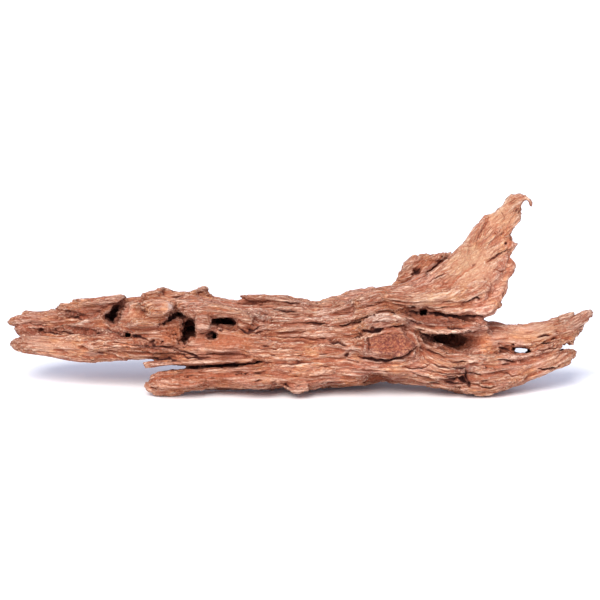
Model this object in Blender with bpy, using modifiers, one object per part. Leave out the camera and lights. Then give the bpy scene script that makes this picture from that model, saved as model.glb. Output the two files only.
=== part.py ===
"""A long piece of aquarium driftwood, one weathered body with its limbs, hollows and grain.

The wood is laid out square to the side that it shows best: x runs along it, up rises in that
view and deep runs away from it, all in millimetres. It is then tipped back by VIEW_TIP to stand
as it lies on a surface, and trimmed flat where it touches that surface.
"""

import math

import bmesh
import bpy
import numpy as np
from mathutils import Matrix, Vector, bvhtree, noise

# Driving dimensions, in metres
LENGTH = 0.438
DEPTH = 0.090
HEIGHT = 0.145
FOOT_TRIM = 0.002  # how much is worn flat off each low point

MM = 0.001
VIEW_TIP = math.radians(15)
VOXEL = 1.2 * MM
SIDES = 20  # points round a limb
RINGS_PER_SPAN = 4
BOXINESS = 0.86  # under 1 fills out the corners of a limb's section
TRIANGLES = 11400

WOOD_COLOUR = (0.50, 0.235, 0.135, 1.0)
WOOD_ROUGHNESS = 0.85

# A rung crosses a limb: its upper edge (x, up), its lower edge (x, up), how deep its front and
# its back lie, and how much further back the upper edge lies than the middle.
TRUNK = [
    ((-218, 56), (-216, 37), 2, 13, 0),
    ((-207, 61.5), (-207, 30.5), -8, 22, 2),
    ((-191, 61.5), (-191, 28), -12, 28, 3),
    ((-172, 67), (-172, 24.5), -17, 32, 4),
    ((-150, 70), (-150, 23), -22, 34, 5),
    ((-131, 71.5), (-131, 24.5), -26, 35, 6),
    ((-112, 74.5), (-112, 26), -29, 35, 6),
    ((-98, 77), (-98, 22), -30, 35, 6),
    ((-82, 77.5), (-82, 21), -31, 35, 6),
    ((-64, 74.5), (-64, 21), -32, 35, 6),
    ((-45, 72.5), (-45, 22), -33, 36, 6),
    ((-28, 70), (-28, 15), -33, 35, 10),
    ((-15, 70), (-11, 3), -33, 34, 13),
    ((0, 71), (0, 0.5), -33, 33, 15),
    ((12, 70), (12, 1.5), -34, 33, 15),
    ((22, 74), (22, 5), -34, 34, 14),
    ((37, 79), (37, 5), -34, 35, 14),
    ((60, 80), (60, 5), -34, 35, 14),
    ((82, 79), (82, 5), -33, 34, 13),
    ((105, 68), (105, 2), -31, 28, 12),
    ((127, 58), (127, -2), -30, 22, 12),
    ((150, 54), (150, 0.5), -27, 14, 10),
    ((169, 52), (170, 6), -24, 8, 6),
    ((184, 55), (187, 13), -19, 5, 3),
    ((197, 58), (199, 20), -15, 3, 1),
    ((206, 57), (207, 28), -11, 0, 0),
]
UPPER_FINGER = [
    ((187, 57), (191, 36), -16, 5, 1),
    ((204, 60), (204, 37), -12, 2, 0),
    ((211, 61), (210, 47), -10, 0, 0),
    ((216, 63), (216, 54), -8, -1, 0),
    ((219.5, 62), (219.5, 56), -7, -2, 0),
]
FIN = [
    ((34, 72), (45, 47), -30, 10, 2),
    ((58, 81), (71, 53), -33, 8, 3),
    ((75, 84), (99, 57), -34, 4, 3),
    ((84, 88), (116, 56), -34, 0, 3),
    ((94, 94), (133, 57), -33, -5, 3),
    ((105, 100), (143, 59), -31, -8, 3),
    ((114, 108), (150, 65), -28, -9, 3),
    ((120, 115), (153, 73), -25, -9, 2),
    ((125, 121), (158, 86), -23, -9, 2),
    ((129, 128), (162, 96), -21, -9, 2),
    ((133, 134), (159, 103), -20, -9, 2),
    ((138, 138), (165, 111), -19, -9, 1),
    ((142, 137), (159, 115), -18, -9, 1),
    ((146, 139.5), (161, 122), -17, -9, 1),
    ((149, 143.5), (166, 129), -17, -9, 0),
    ((154, 148), (166, 135), -16, -9, 0),
    ((160, 151), (167, 141), -15, -9, 0),
    ((168, 150.5), (170, 144), -14.5, -9.5, 0),
    ((175, 145), (171.5, 140.5), -14, -10.5, 0),
]
STUB = [
    ((66, 80), (76, 64), -8, 26, 0),
    ((76, 92), (86, 74), 0, 28, 0),
    ((82, 101), (96, 80), 2, 29, 0),
    ((90, 106.5), (105, 87), 4, 27, 0),
    ((100, 106), (112, 93), 5, 22, 0),
    ((108, 107), (115, 97), 5, 17, 0),
    ((114, 111), (119, 103), 4, 13, 0),
]
PRONG = [
    ((-117.5, 11), (-117.5, 3), -26, -12, 0),
    ((-113, 14), (-113, 0.5), -31, -7, 0),
    ((-105, 17.5), (-105, -3.5), -34, -3, 0),
    ((-90, 20), (-90, -2), -35, 0, 0),
    ((-67, 20.5), (-67, 2), -35, 4, 0),
    ((-45, 21), (-45, 2.5), -35, 8, 0),
    ((-28, 22), (-28, 2.5), -35, 14, 0),
    ((-11, 32), (-11, 2), -33, 20, 0),
]
HEEL = [
    ((-34, 44), (-34, 30), 14, 30, 0),
    ((-12, 50), (-12, 22), 8, 38, 0),
    ((14, 52), (14, 13), 6, 44, 0),
    ((30, 52), (30, 9.5), 8, 46, 0),
    ((46, 50), (46, 13), 8, 43, 0),
    ((66, 44), (66, 24), 12, 34, 0),
]
TONGUE = [
    ((82, 54), (84, 44), -32, -10, 0),
    ((100, 55), (102, 45.5), -31, -8, 0),
    ((122, 56), (122, 47), -28, -6, 0),
    ((140, 55), (142, 46), -25, -4, 0),
]
KNOT = [
    ((33, 35), (34, 31), -37, -25, 0),
    ((41, 40), (42, 28), -41, -22, 0),
    ((49, 48), (50, 24), -46, -20, 0),
    ((64, 50.5), (64, 23), -49, -18, 0),
    ((77, 50), (78, 25), -48, -18, 0),
    ((86, 45), (86, 29), -43, -20, 0),
    ((91, 40), (91, 35), -37, -22, 0),
]
KNOT_BROW = [
    ((42, 50), (44, 47), -39, -24, 0),
    ((50, 57), (52, 50), -45, -22, 0),
    ((64, 59.5), (66, 50), -48, -20, 0),
    ((75, 59.5), (77, 50), -46, -20, 0),
    ((83, 57), (84, 51), -40, -22, 0),
]
LAMELLA = [
    ((78, 56), (79, 47), -37, -20, 0),
    ((90, 57), (92, 44.5), -39, -16, 0),
    ((105, 57.5), (108, 46), -38, -10, 0),
    ((120, 56), (122, 47.5), -36, -8, 0),
    ((131, 55), (134, 49), -32, -8, 0),
]
CHIP = [
    ((-79, 66), (-64, 66), -34, -22, 0),
    ((-78, 58), (-66, 58), -40, -28, 0),
    ((-77, 47.5), (-68, 49), -40, -31, 0),
]
LEFT_LOBE = [
    ((-128, 66), (-128, 50), -33, -10, 0),
    ((-116, 70), (-114, 49), -38, -10, 0),
    ((-103, 72), (-101, 54), -40, -10, 0),
    ((-93, 69), (-92, 59), -37, -12, 0),
]
LEFT_CREST = [
    ((-180, 65), (-180, 61), -6, 8, 0),
    ((-172, 69), (-172, 62), -10, 10, 0),
    ((-150, 72.5), (-150, 64), -12, 8, 0),
    ((-138, 75.5), (-137, 66), -12, 6, 0),
    ((-131.5, 76.5), (-131, 71), -8, 2, 0),
]
MIDDLE_CREST = [
    ((-121, 76.5), (-121, 70), -10, 4, 0),
    ((-112, 78.5), (-112, 70), -12, 12, 0),
    ((-103, 82), (-103, 72), -6, 14, 0),
    ((-98, 82), (-98, 74), 0, 14, 0),
    ((-93, 78.5), (-93, 72), 2, 12, 0),
]
RIGHT_CREST = [
    ((-88, 79), (-88, 72), -8, 10, 0),
    ((-80, 81.5), (-80, 72), -10, 16, 0),
    ((-71, 82), (-71, 72), -4, 20, 0),
    ((-66, 77.5), (-65, 70), 2, 18, 0),
]
TOP_SPLINTER = [
    ((-46, 75), (-46, 73), -6, 4, 0),
    ((-28, 74), (-28, 69), -10, 10, 0),
    ((-10, 72.5), (-10, 67), -12, 14, 0),
    ((6, 69), (6, 65), -8, 10, 0),
]
UNDER_LIP = [
    ((-115, 21.5), (-115, 19), -29, -20, 0),
    ((-108, 25), (-108, 21), -31, -10, 0),
    ((-92, 26), (-92, 22), -33, 4, 0),
    ((-70, 27), (-70, 22), -34, 8, 0),
    ((-45, 27), (-45, 22), -34, 8, 0),
]
LIMBS = [TRUNK, UPPER_FINGER, FIN, STUB, PRONG, HEEL, TONGUE, KNOT, KNOT_BROW, LAMELLA, CHIP,
         LEFT_LOBE, LEFT_CREST, MIDDLE_CREST, RIGHT_CREST, TOP_SPLINTER, UNDER_LIP]

# A hollow is drawn like a limb, from OPEN in front of the wood to the depth of its floor.
OPEN = -70
THROUGH = 70
DIAGONAL_SLOT = [
    ((-149, 58), (-148.5, 56.8), OPEN, -12, 0),
    ((-143, 61.5), (-143.5, 54.5), OPEN, 4, 0),
    ((-138.5, 64.7), (-139.5, 52), OPEN, 6, 0),
    ((-134.5, 67.5), (-135, 55.5), OPEN, 0, 0),
    ((-131, 69.3), (-129.5, 58), OPEN, -14, 0),
    ((-124, 68), (-121, 57), OPEN, -24, 0),
    ((-117, 66), (-115, 60), OPEN, -31, 0),
]
CRUMBLED_HOLLOW = [
    ((-105, 52), (-102, 46), OPEN, -22, 0),
    ((-97, 57), (-96, 43), OPEN, -17, 0),
    ((-90, 60), (-89, 41), OPEN, -15, 0),
    ((-86, 56), (-86, 44), OPEN, -20, 0),
]
DEEP_HOLLOW = [
    ((-85.5, 55.5), (-78.5, 54.5), OPEN, -6, 0),
    ((-86.5, 50), (-79, 48.5), OPEN, 8, 0),
    ((-88.5, 43.5), (-83, 42), OPEN, 2, 0),
    ((-89.5, 38), (-86.5, 36.5), OPEN, -16, 0),
]
LIP_SLOT = [
    ((-67, 57), (-67, 52.5), OPEN, -6, 0),
    ((-58, 57.5), (-58, 52), OPEN, 2, 0),
    ((-51, 56), (-51, 51), OPEN, -4, 0),
    ((-46.5, 52.5), (-47, 50.5), OPEN, -16, 0),
]
CAVE = [
    ((92, 41.5), (93, 39.5), OPEN, -20, 0),
    ((99, 44), (100, 38.5), OPEN, -6, 0),
    ((105, 45), (106, 36), OPEN, 4, 0),
    ((112, 45), (114, 33.5), OPEN, 2, 0),
    ((121, 45.5), (123, 32), OPEN, -10, 0),
    ((131, 46), (134, 32), OPEN, -17, 0),
    ((140, 43), (143, 32), OPEN, -20, 0),
    ((150, 38), (153, 31.5), OPEN, -20, 0),
    ((160, 35.5), (160, 31), OPEN, -15, 0),
]
EYE_HOLE = [
    ((161, 34), (161, 31), OPEN, THROUGH, 0),
    ((166, 36), (166, 30), OPEN, THROUGH, 0),
    ((171, 33), (171, 31), OPEN, THROUGH, 0),
]
END_SLIT = [
    ((192, 34.3), (192, 32.5), OPEN, THROUGH, 0),
    ((200, 35.3), (200, 32), OPEN, THROUGH, 0),
    ((213, 37), (213, 31.5), OPEN, THROUGH, 0),
]
LEFT_NOTCH = [
    ((-224, 52), (-224, 39), OPEN, THROUGH, 0),
    ((-216, 50.5), (-216, 40), OPEN, THROUGH, 0),
    ((-211, 46.5), (-211, 43.5), OPEN, THROUGH, 0),
]
PRONG_GAP = [
    ((-102, 21.6), (-102, 18.6), OPEN, THROUGH, 0),
    ((-90, 21.9), (-90, 19.2), OPEN, THROUGH, 0),
    ((-78, 22.2), (-78, 19.6), OPEN, 4, 0),
    ((-60, 22.6), (-60, 20), OPEN, -2, 0),
    ((-45, 23.3), (-45, 20.6), OPEN, -8, 0),
    ((-30, 25.3), (-30, 21.8), OPEN, -16, 0),
]
UNDER_ARCH = [
    ((42, 5), (42, -8), OPEN, -20, 0),
    ((48, 13), (48, -8), OPEN, -12, 0),
    ((55, 17.5), (55, -8), OPEN, -9, 0),
    ((63, 16), (63, -8), OPEN, -9, 0),
    ((72, 11), (72, -8), OPEN, -12, 0),
    ((83, 6), (83, -8), OPEN, -20, 0),
]
KNOT_FACE = [
    ((48, 42), (48, 33), OPEN, -43, 0),
    ((54, 46), (54, 28.5), OPEN, -43.5, 0),
    ((66, 47), (66, 27.5), OPEN, -44, 0),
    ((77, 45.5), (77, 29), OPEN, -43.5, 0),
    ((84, 40), (84, 33), OPEN, -42, 0),
]
BACK_POCKET = [
    ((-30, 50), (-30, 46), 14, THROUGH, 0),
    ((-18, 53), (-18, 42), 20, THROUGH, 0),
    ((-2, 52), (-2, 39), 22, THROUGH, 0),
    ((14, 50), (14, 42), 30, THROUGH, 0),
]
BACK_GROOVE = [
    ((-150, 52), (-150, 46), 24, THROUGH, 0),
    ((-130, 54), (-130, 46), 20, THROUGH, 0),
    ((-100, 55), (-100, 47), 24, THROUGH, 0),
    ((-80, 54), (-80, 49), 30, THROUGH, 0),
]
HOLLOWS = [DIAGONAL_SLOT, CRUMBLED_HOLLOW, DEEP_HOLLOW, LIP_SLOT, CAVE, EYE_HOLE, END_SLIT,
           LEFT_NOTCH, PRONG_GAP, UNDER_ARCH, KNOT_FACE, BACK_POCKET, BACK_GROOVE]

# Round holes left by borers and lost twigs: x, up, radius, and the depth of the floor
BORINGS = [
    (-66, 44.3, 3.0, -12),
    (-36.5, 48.7, 1.7, -24),
    (-129, 44, 2.4, -12),
    (-111, 39, 2.6, -14),
    (-91.5, 59.5, 2.2, -12),
    (93, 61, 2.2, -16),
]

# Wide shallow dents pressed into the front: x, up, half-width, half-height, depth
DENTS = [
    (-129, 59, 11, 8, 5),
    (-58, 41, 30, 11, 6),
    (-185, 47, 22, 6, 3.5),
    (-160, 56, 14, 6, 3),
    (112, 51, 26, 4, 2),
    (128, 80, 12, 18, 2),
]

# Smooth places of the front: x, up, half-width, half-height, and the share of relief worn off
SMOOTH_PLACES = [
    (-57, 40, 31, 11, 0.85),
    (-127, 60, 11, 9, 0.8),
    (-103, 66, 15, 12, 0.7),
    (-72.5, 54, 9, 9, 0.9),
    (133, 38, 19, 9, 0.8),
    (68, 38, 20, 11, 0.9),
    (171, 46, 25, 7, 0.5),
    (127, 92, 21, 19, 0.4),
]

# Cracks along the grain of the front: the route (x, up), the half-width and the depth
CRACKS = [
    ([(28, 50), (39, 52), (46, 56), (52, 60), (66, 61), (71, 60)], 1.6, 5),
    ([(75, 62), (81, 59), (88, 58), (98, 60), (105, 58), (116, 56.5), (131, 56)], 1.8, 7),
    ([(37, 30), (43, 28), (54, 25), (65, 24.5), (75, 26.5), (81, 29), (87, 36)], 1.6, 5),
    ([(138, 98), (144, 100), (150, 103), (156, 106)], 1.6, 5),
    ([(121, 67), (127, 69), (132, 71.5)], 1.4, 4),
    ([(-127, 42), (-121, 41.5), (-114, 41)], 1.4, 5),
    ([(-92, 66), (-89, 59), (-94, 55), (-99, 52), (-104, 48)], 2.2, 7),
]

# Lines that the grain follows past the knot and into each limb: the level that every point of
# a line shares, and its points (x, up)
GRAIN_LINES = [
    (0, [(-116, 1), (-60, 0), (0, 1), (60, 4), (127, 0), (170, 7), (199, 20)]),
    (20, [(-207, 31), (-150, 24), (-98, 21), (-45, 20), (0, 20), (100, 17), (150, 18), (190, 28)]),
    (26, [(0, 27), (37, 29), (54, 25), (75, 26), (92, 30)]),
    (45, [(-212, 46), (-150, 46), (-100, 45), (-60, 43), (0, 44), (100, 42), (150, 42), (190, 46),
          (212, 54)]),
    (52, [(30, 49), (47, 52), (64, 58), (82, 55), (100, 50)]),
    (60, [(-190, 54), (-150, 56), (-60, 54), (0, 53), (47, 57), (75, 60), (105, 58), (135, 56),
          (169, 51), (184, 55), (206, 59)]),
    (67, [(0, 58), (80, 62), (110, 63), (130, 67), (145, 73), (152, 77)]),
    (76, [(0, 63), (80, 68), (110, 73), (135, 84), (150, 96), (159, 103)]),
    (86, [(-150, 68), (0, 68), (75, 75), (100, 82), (125, 97), (142, 114), (156, 127), (165, 136)]),
    (96, [(-100, 80), (0, 73), (40, 76), (75, 82), (95, 92), (115, 106), (130, 126), (145, 139),
          (160, 150)]),
]

# Relief: the length of a wave along the grain, its width across, its height, and its seed
LUMPS = (70, 36, 3.0, 11)
RIDGES = (95, 12, 4.5, 23)
FURROWS = (48, 6, 2.2, 37)
CREST_SHARE = 0.15  # the share of the relief's height that stands out of the limbs
FULL_RELIEF_THICKNESS = 16  # thinner wood gets shallower relief


def clear_scene():
    for item in list(bpy.data.objects):
        bpy.data.objects.remove(item, do_unlink=True)


def new_collection(name):
    collection = bpy.data.collections.new(name)
    bpy.context.scene.collection.children.link(collection)
    return collection


def smooth_between(rungs, steps):
    """The rungs' numbers, with a smooth Catmull-Rom curve of further rungs between them."""
    rows = np.array([[*top, *bottom, *rest] for top, bottom, *rest in rungs], float)
    padded = np.vstack([2 * rows[0] - rows[1], rows, 2 * rows[-1] - rows[-2]])
    smooth = []
    for i in range(1, len(padded) - 2):
        before, start, end, after = padded[i - 1 : i + 3]
        for t in np.arange(steps) / steps:
            bend = 2 * before - 5 * start + 4 * end - after
            twist = 3 * start - before - 3 * end + after
            smooth.append(start + 0.5 * t * (end - before + t * (bend + t * twist)))
    return [*smooth, rows[-1]]


def loft(bm, rungs):
    """Adds a closed limb whose sections are rounded shapes hung on the rungs."""
    rings = []
    for x1, up1, x2, up2, front, back, lean in smooth_between(rungs, RINGS_PER_SPAN):
        top = Vector((x1, (front + back) / 2 + lean, up1))
        bottom = Vector((x2, (front + back) / 2 - lean, up2))
        ring = []
        for k in range(SIDES):
            turn = 2 * math.pi * k / SIDES
            rise = math.copysign(abs(math.cos(turn)) ** BOXINESS, math.cos(turn))
            reach = math.copysign(abs(math.sin(turn)) ** BOXINESS, math.sin(turn))
            point = (top + bottom) / 2 + (top - bottom) / 2 * rise
            point.y += (back - front) / 2 * reach
            ring.append(bm.verts.new(point * MM))
        rings.append(ring)
    for one, two in zip(rings, rings[1:]):
        for k in range(SIDES):
            bm.faces.new((one[k - 1], one[k], two[k], two[k - 1]))
    bm.faces.new(rings[0])
    bm.faces.new(reversed(rings[-1]))


def bore(bm, x, up, radius, floor):
    """Adds a round peg, the shape of one boring."""
    length = floor - OPEN
    middle = Matrix.Translation(Vector((x, (floor + OPEN) / 2, up)) * MM)
    bmesh.ops.create_cone(
        bm, cap_ends=True, segments=14, radius1=radius * MM, radius2=radius * MM,
        depth=length * MM, matrix=middle @ Matrix.Rotation(math.pi / 2, 4, "X"),
    )


def as_object(bm, name, collection):
    bmesh.ops.recalc_face_normals(bm, faces=bm.faces)
    mesh = bpy.data.meshes.new(name)
    bm.to_mesh(mesh)
    bm.free()
    item = bpy.data.objects.new(name, mesh)
    collection.objects.link(item)
    return item


def apply_modifiers(item):
    graph = bpy.context.evaluated_depsgraph_get()
    mesh = bpy.data.meshes.new_from_object(item.evaluated_get(graph))
    item.modifiers.clear()
    item.data = mesh


def remesh(item, size):
    """Fuses everything in the object into one even skin."""
    skin = item.modifiers.new("Skin", "REMESH")
    skin.mode = "VOXEL"
    skin.voxel_size = size
    apply_modifiers(item)


def smooth(item, times):
    softened = item.modifiers.new("Soften", "SMOOTH")
    softened.factor = 0.5
    softened.iterations = times
    apply_modifiers(item)


def build_limbs(parts):
    bm = bmesh.new()
    for rungs in LIMBS:
        loft(bm, rungs)
    wood = as_object(bm, "driftwood", parts)
    remesh(wood, VOXEL)
    return wood


def hollow_out(wood, cutters):
    bm = bmesh.new()
    for rungs in HOLLOWS:
        loft(bm, rungs)
    for boring in BORINGS:
        bore(bm, *boring)
    cutter = as_object(bm, "hollows", cutters)
    cutter.hide_render = True
    cutter.display_type = "WIRE"
    remesh(cutter, VOXEL)
    cut = wood.modifiers.new("Hollows", "BOOLEAN")
    cut.operation = "DIFFERENCE"
    cut.object = cutter
    apply_modifiers(wood)
    bpy.data.objects.remove(cutter, do_unlink=True)
    remesh(wood, VOXEL)
    smooth(wood, 2)


def grain_levels(x, up):
    """A thin-plate surface through the grain lines: its level curves are the grain."""
    known = np.array([point for _, line in GRAIN_LINES for point in line], float)
    level = np.array([value for value, line in GRAIN_LINES for _ in line], float)

    def bending(a, b):
        square = ((a[:, None, :] - b[None, :, :]) ** 2).sum(axis=2) + 1e-9
        return square * np.log(square) / 2

    count = len(known)
    flat = np.column_stack([np.ones(count), known])
    system = np.zeros((count + 3, count + 3))
    system[:count, :count] = bending(known, known) + 40 * np.eye(count)
    system[:count, count:] = flat
    system[count:, :count] = flat.T
    weights = np.linalg.solve(system, np.append(level, [0, 0, 0]))
    asked = np.column_stack([x, up])
    plane = np.column_stack([np.ones(len(asked)), asked])
    return bending(asked, known) @ weights[:count] + plane @ weights[count:]


def valleys(along, across, deep, relief):
    """From 0 on a ridge's crest to 1 in a sharp valley, drawn out along the grain."""
    length, width, _, seed = relief
    spots = zip(along / length + seed, across / width, deep / width)
    waves = np.array([noise.noise(Vector(spot)) for spot in spots])
    return (1 - np.clip(np.abs(waves) * 2.2, 0, 1)) ** 2


def crack_shape(x, up, route, half_width):
    """1 along the middle of a crack, 0 outside it, and fading out towards its two ends."""
    points = np.column_stack([x, up])
    nearest = np.full(len(points), np.inf)
    progress = np.zeros(len(points))
    spans = len(route) - 1
    for i in range(spans):
        start, end = np.array(route[i : i + 2], float)
        step = end - start
        share = np.clip((points - start) @ step / (step @ step), 0, 1)
        gap = np.linalg.norm(points - start - share[:, None] * step, axis=1)
        closer = gap < nearest
        nearest = np.where(closer, gap, nearest)
        progress = np.where(closer, (i + share) / spans, progress)
    fade = np.sqrt(np.clip(4 * progress * (1 - progress), 0, 1))
    return fade * np.exp(-((nearest / half_width) ** 2))


def wood_thickness(item, points, normals):
    """How much wood lies under each point, straight in."""
    tree = bvhtree.BVHTree.FromObject(item, bpy.context.evaluated_depsgraph_get())
    thickness = np.full(len(points), FULL_RELIEF_THICKNESS, float)
    for i, (point, normal) in enumerate(zip(points, normals)):
        inward = -Vector(normal)
        hit = tree.ray_cast(Vector(point) * MM + inward * 0.1 * MM, inward)
        if hit[3] is not None:
            thickness[i] = hit[3] / MM
    return thickness


def weather(wood):
    """Presses in the dents, opens the cracks and raises the grain in relief."""
    mesh = wood.data
    count = len(mesh.vertices)
    points = np.empty(count * 3, np.float32)
    mesh.vertices.foreach_get("co", points)
    points = points.reshape(-1, 3).astype(float) / MM
    normals = np.empty(count * 3, np.float32)
    mesh.vertex_normals.foreach_get("vector", normals)
    normals = normals.reshape(-1, 3).astype(float)
    x, deep, up = points.T
    facing = np.clip(-normals[:, 1] * 1.6, 0, 1) * (deep < 5)

    pressed = np.zeros(count)
    for cx, cup, half_width, half_height, depth in DENTS:
        reach = ((x - cx) / half_width) ** 2 + ((up - cup) / half_height) ** 2
        pressed += depth * np.clip(1 - reach, 0, 1) ** 2
    for route, half_width, depth in CRACKS:
        pressed += depth * crack_shape(x, up, route, half_width)

    across = grain_levels(x, up)
    along = x + 0.9 * np.clip(up - 75, 0, None)
    thin = np.clip(wood_thickness(wood, points, normals) / FULL_RELIEF_THICKNESS, 0.1, 1)
    worn = np.zeros(count)
    for relief in (LUMPS, RIDGES, FURROWS):
        worn += relief[2] * (valleys(along, across, deep, relief) - CREST_SHARE)
    for cx, cup, half_width, half_height, share in SMOOTH_PLACES:
        reach = ((x - cx) / half_width) ** 2 + ((up - cup) / half_height) ** 2
        worn *= 1 - share * facing * np.clip(1.3 * (1 - reach), 0, 1)

    points[:, 1] += pressed * facing * thin
    points -= normals * (worn * thin)[:, None]
    mesh.vertices.foreach_set("co", (points * MM).astype(np.float32).ravel())
    mesh.update()


def thin_out(wood):
    """Lowers the number of faces where the surface allows it."""
    faces = sum(len(face.vertices) - 2 for face in wood.data.polygons)
    fewer = wood.modifiers.new("Fewer", "DECIMATE")
    fewer.ratio = TRIANGLES / faces
    fewer.use_collapse_triangulate = True
    apply_modifiers(wood)


def stand_up(wood):
    """Tips the wood back as it lies, brings it to its driving size and trims its feet flat."""
    mesh = wood.data
    mesh.transform(Matrix.Rotation(-VIEW_TIP, 4, "X"))
    corners = np.array([vertex.co for vertex in mesh.vertices])
    low, high = corners.min(axis=0), corners.max(axis=0)
    low[2] += FOOT_TRIM
    size = Vector((LENGTH, DEPTH, HEIGHT))
    scale = Matrix.Diagonal([size[i] / (high[i] - low[i]) for i in range(3)]).to_4x4()
    middle = Vector(((low[0] + high[0]) / 2, (low[1] + high[1]) / 2, low[2]))
    mesh.transform(scale @ Matrix.Translation(-middle))
    bm = bmesh.new()
    bm.from_mesh(mesh)
    bmesh.ops.bisect_plane(
        bm, geom=[*bm.verts, *bm.edges, *bm.faces], dist=1e-6,
        plane_co=(0, 0, 0), plane_no=(0, 0, 1), clear_inner=True,
    )
    rim = [edge for edge in bm.edges if edge.is_boundary]
    bmesh.ops.holes_fill(bm, edges=rim, sides=0)
    bmesh.ops.triangulate(bm, faces=bm.faces)
    bm.to_mesh(mesh)
    bm.free()


def wood_material():
    material = bpy.data.materials.new("weathered_wood")
    material.use_nodes = True
    surface = material.node_tree.nodes["Principled BSDF"]
    surface.inputs["Base Color"].default_value = WOOD_COLOUR
    surface.inputs["Roughness"].default_value = WOOD_ROUGHNESS
    surface.inputs["Metallic"].default_value = 0.0
    return material


def main():
    clear_scene()
    wood = build_limbs(new_collection("aquarium driftwood"))
    hollow_out(wood, new_collection("cutters"))
    weather(wood)
    thin_out(wood)
    stand_up(wood)
    wood.data.materials.clear()
    wood.data.materials.append(wood_material())
    wood.data.shade_smooth()
    wood.data.set_sharp_from_angle(angle=math.radians(40))


main()
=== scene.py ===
import math

import bpy
import numpy as np
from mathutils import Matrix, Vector
from mathutils.bvhtree import BVHTree


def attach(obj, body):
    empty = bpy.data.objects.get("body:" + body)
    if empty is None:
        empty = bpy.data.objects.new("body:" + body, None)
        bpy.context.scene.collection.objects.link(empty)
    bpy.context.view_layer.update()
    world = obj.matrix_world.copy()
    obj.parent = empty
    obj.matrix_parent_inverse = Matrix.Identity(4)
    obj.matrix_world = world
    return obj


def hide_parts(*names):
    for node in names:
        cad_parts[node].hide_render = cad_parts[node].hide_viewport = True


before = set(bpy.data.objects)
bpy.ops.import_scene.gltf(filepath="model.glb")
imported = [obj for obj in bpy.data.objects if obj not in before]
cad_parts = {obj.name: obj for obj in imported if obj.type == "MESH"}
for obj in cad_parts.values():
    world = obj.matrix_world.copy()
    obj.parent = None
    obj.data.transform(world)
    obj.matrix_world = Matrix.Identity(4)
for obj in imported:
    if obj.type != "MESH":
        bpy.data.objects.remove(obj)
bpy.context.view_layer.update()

mm = 0.001
print("driftwood scene: frame loaded")


# Where things are in the photo
# The photo looks along +Y and 15 degrees down, and one pixel spans 0.75 mm of the wood.
photoView = {
    "tip": math.radians(15),
    "pixel": 0.75,            # mm of wood to a pixel
    "middle": (0.59, 8.99, 2.995),   # mm from the part's own origin to the picture's
    "column": 300.9,          # pixel where the picture's x is 0
    "row": 393.9,             # pixel row where the picture's height is 0
    "frame": 600,             # pixels across the picture
    "distance": 2.2,          # metres from the camera to the wood
}


def toPicture(points):
    # from metres in the part's frame to mm along the picture, up it and into it
    tip = photoView["tip"]
    x, y, z = (points / mm + np.array(photoView["middle"])).T
    up = z * math.cos(tip) + y * math.sin(tip)
    deep = y * math.cos(tip) - z * math.sin(tip)
    return x, up, deep


def toPixels(x, up):
    return photoView["column"] + x / photoView["pixel"], photoView["row"] - up / photoView["pixel"]


def fromPixels(px, py):
    return (px - photoView["column"]) * photoView["pixel"], (photoView["row"] - py) * photoView["pixel"]


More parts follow.
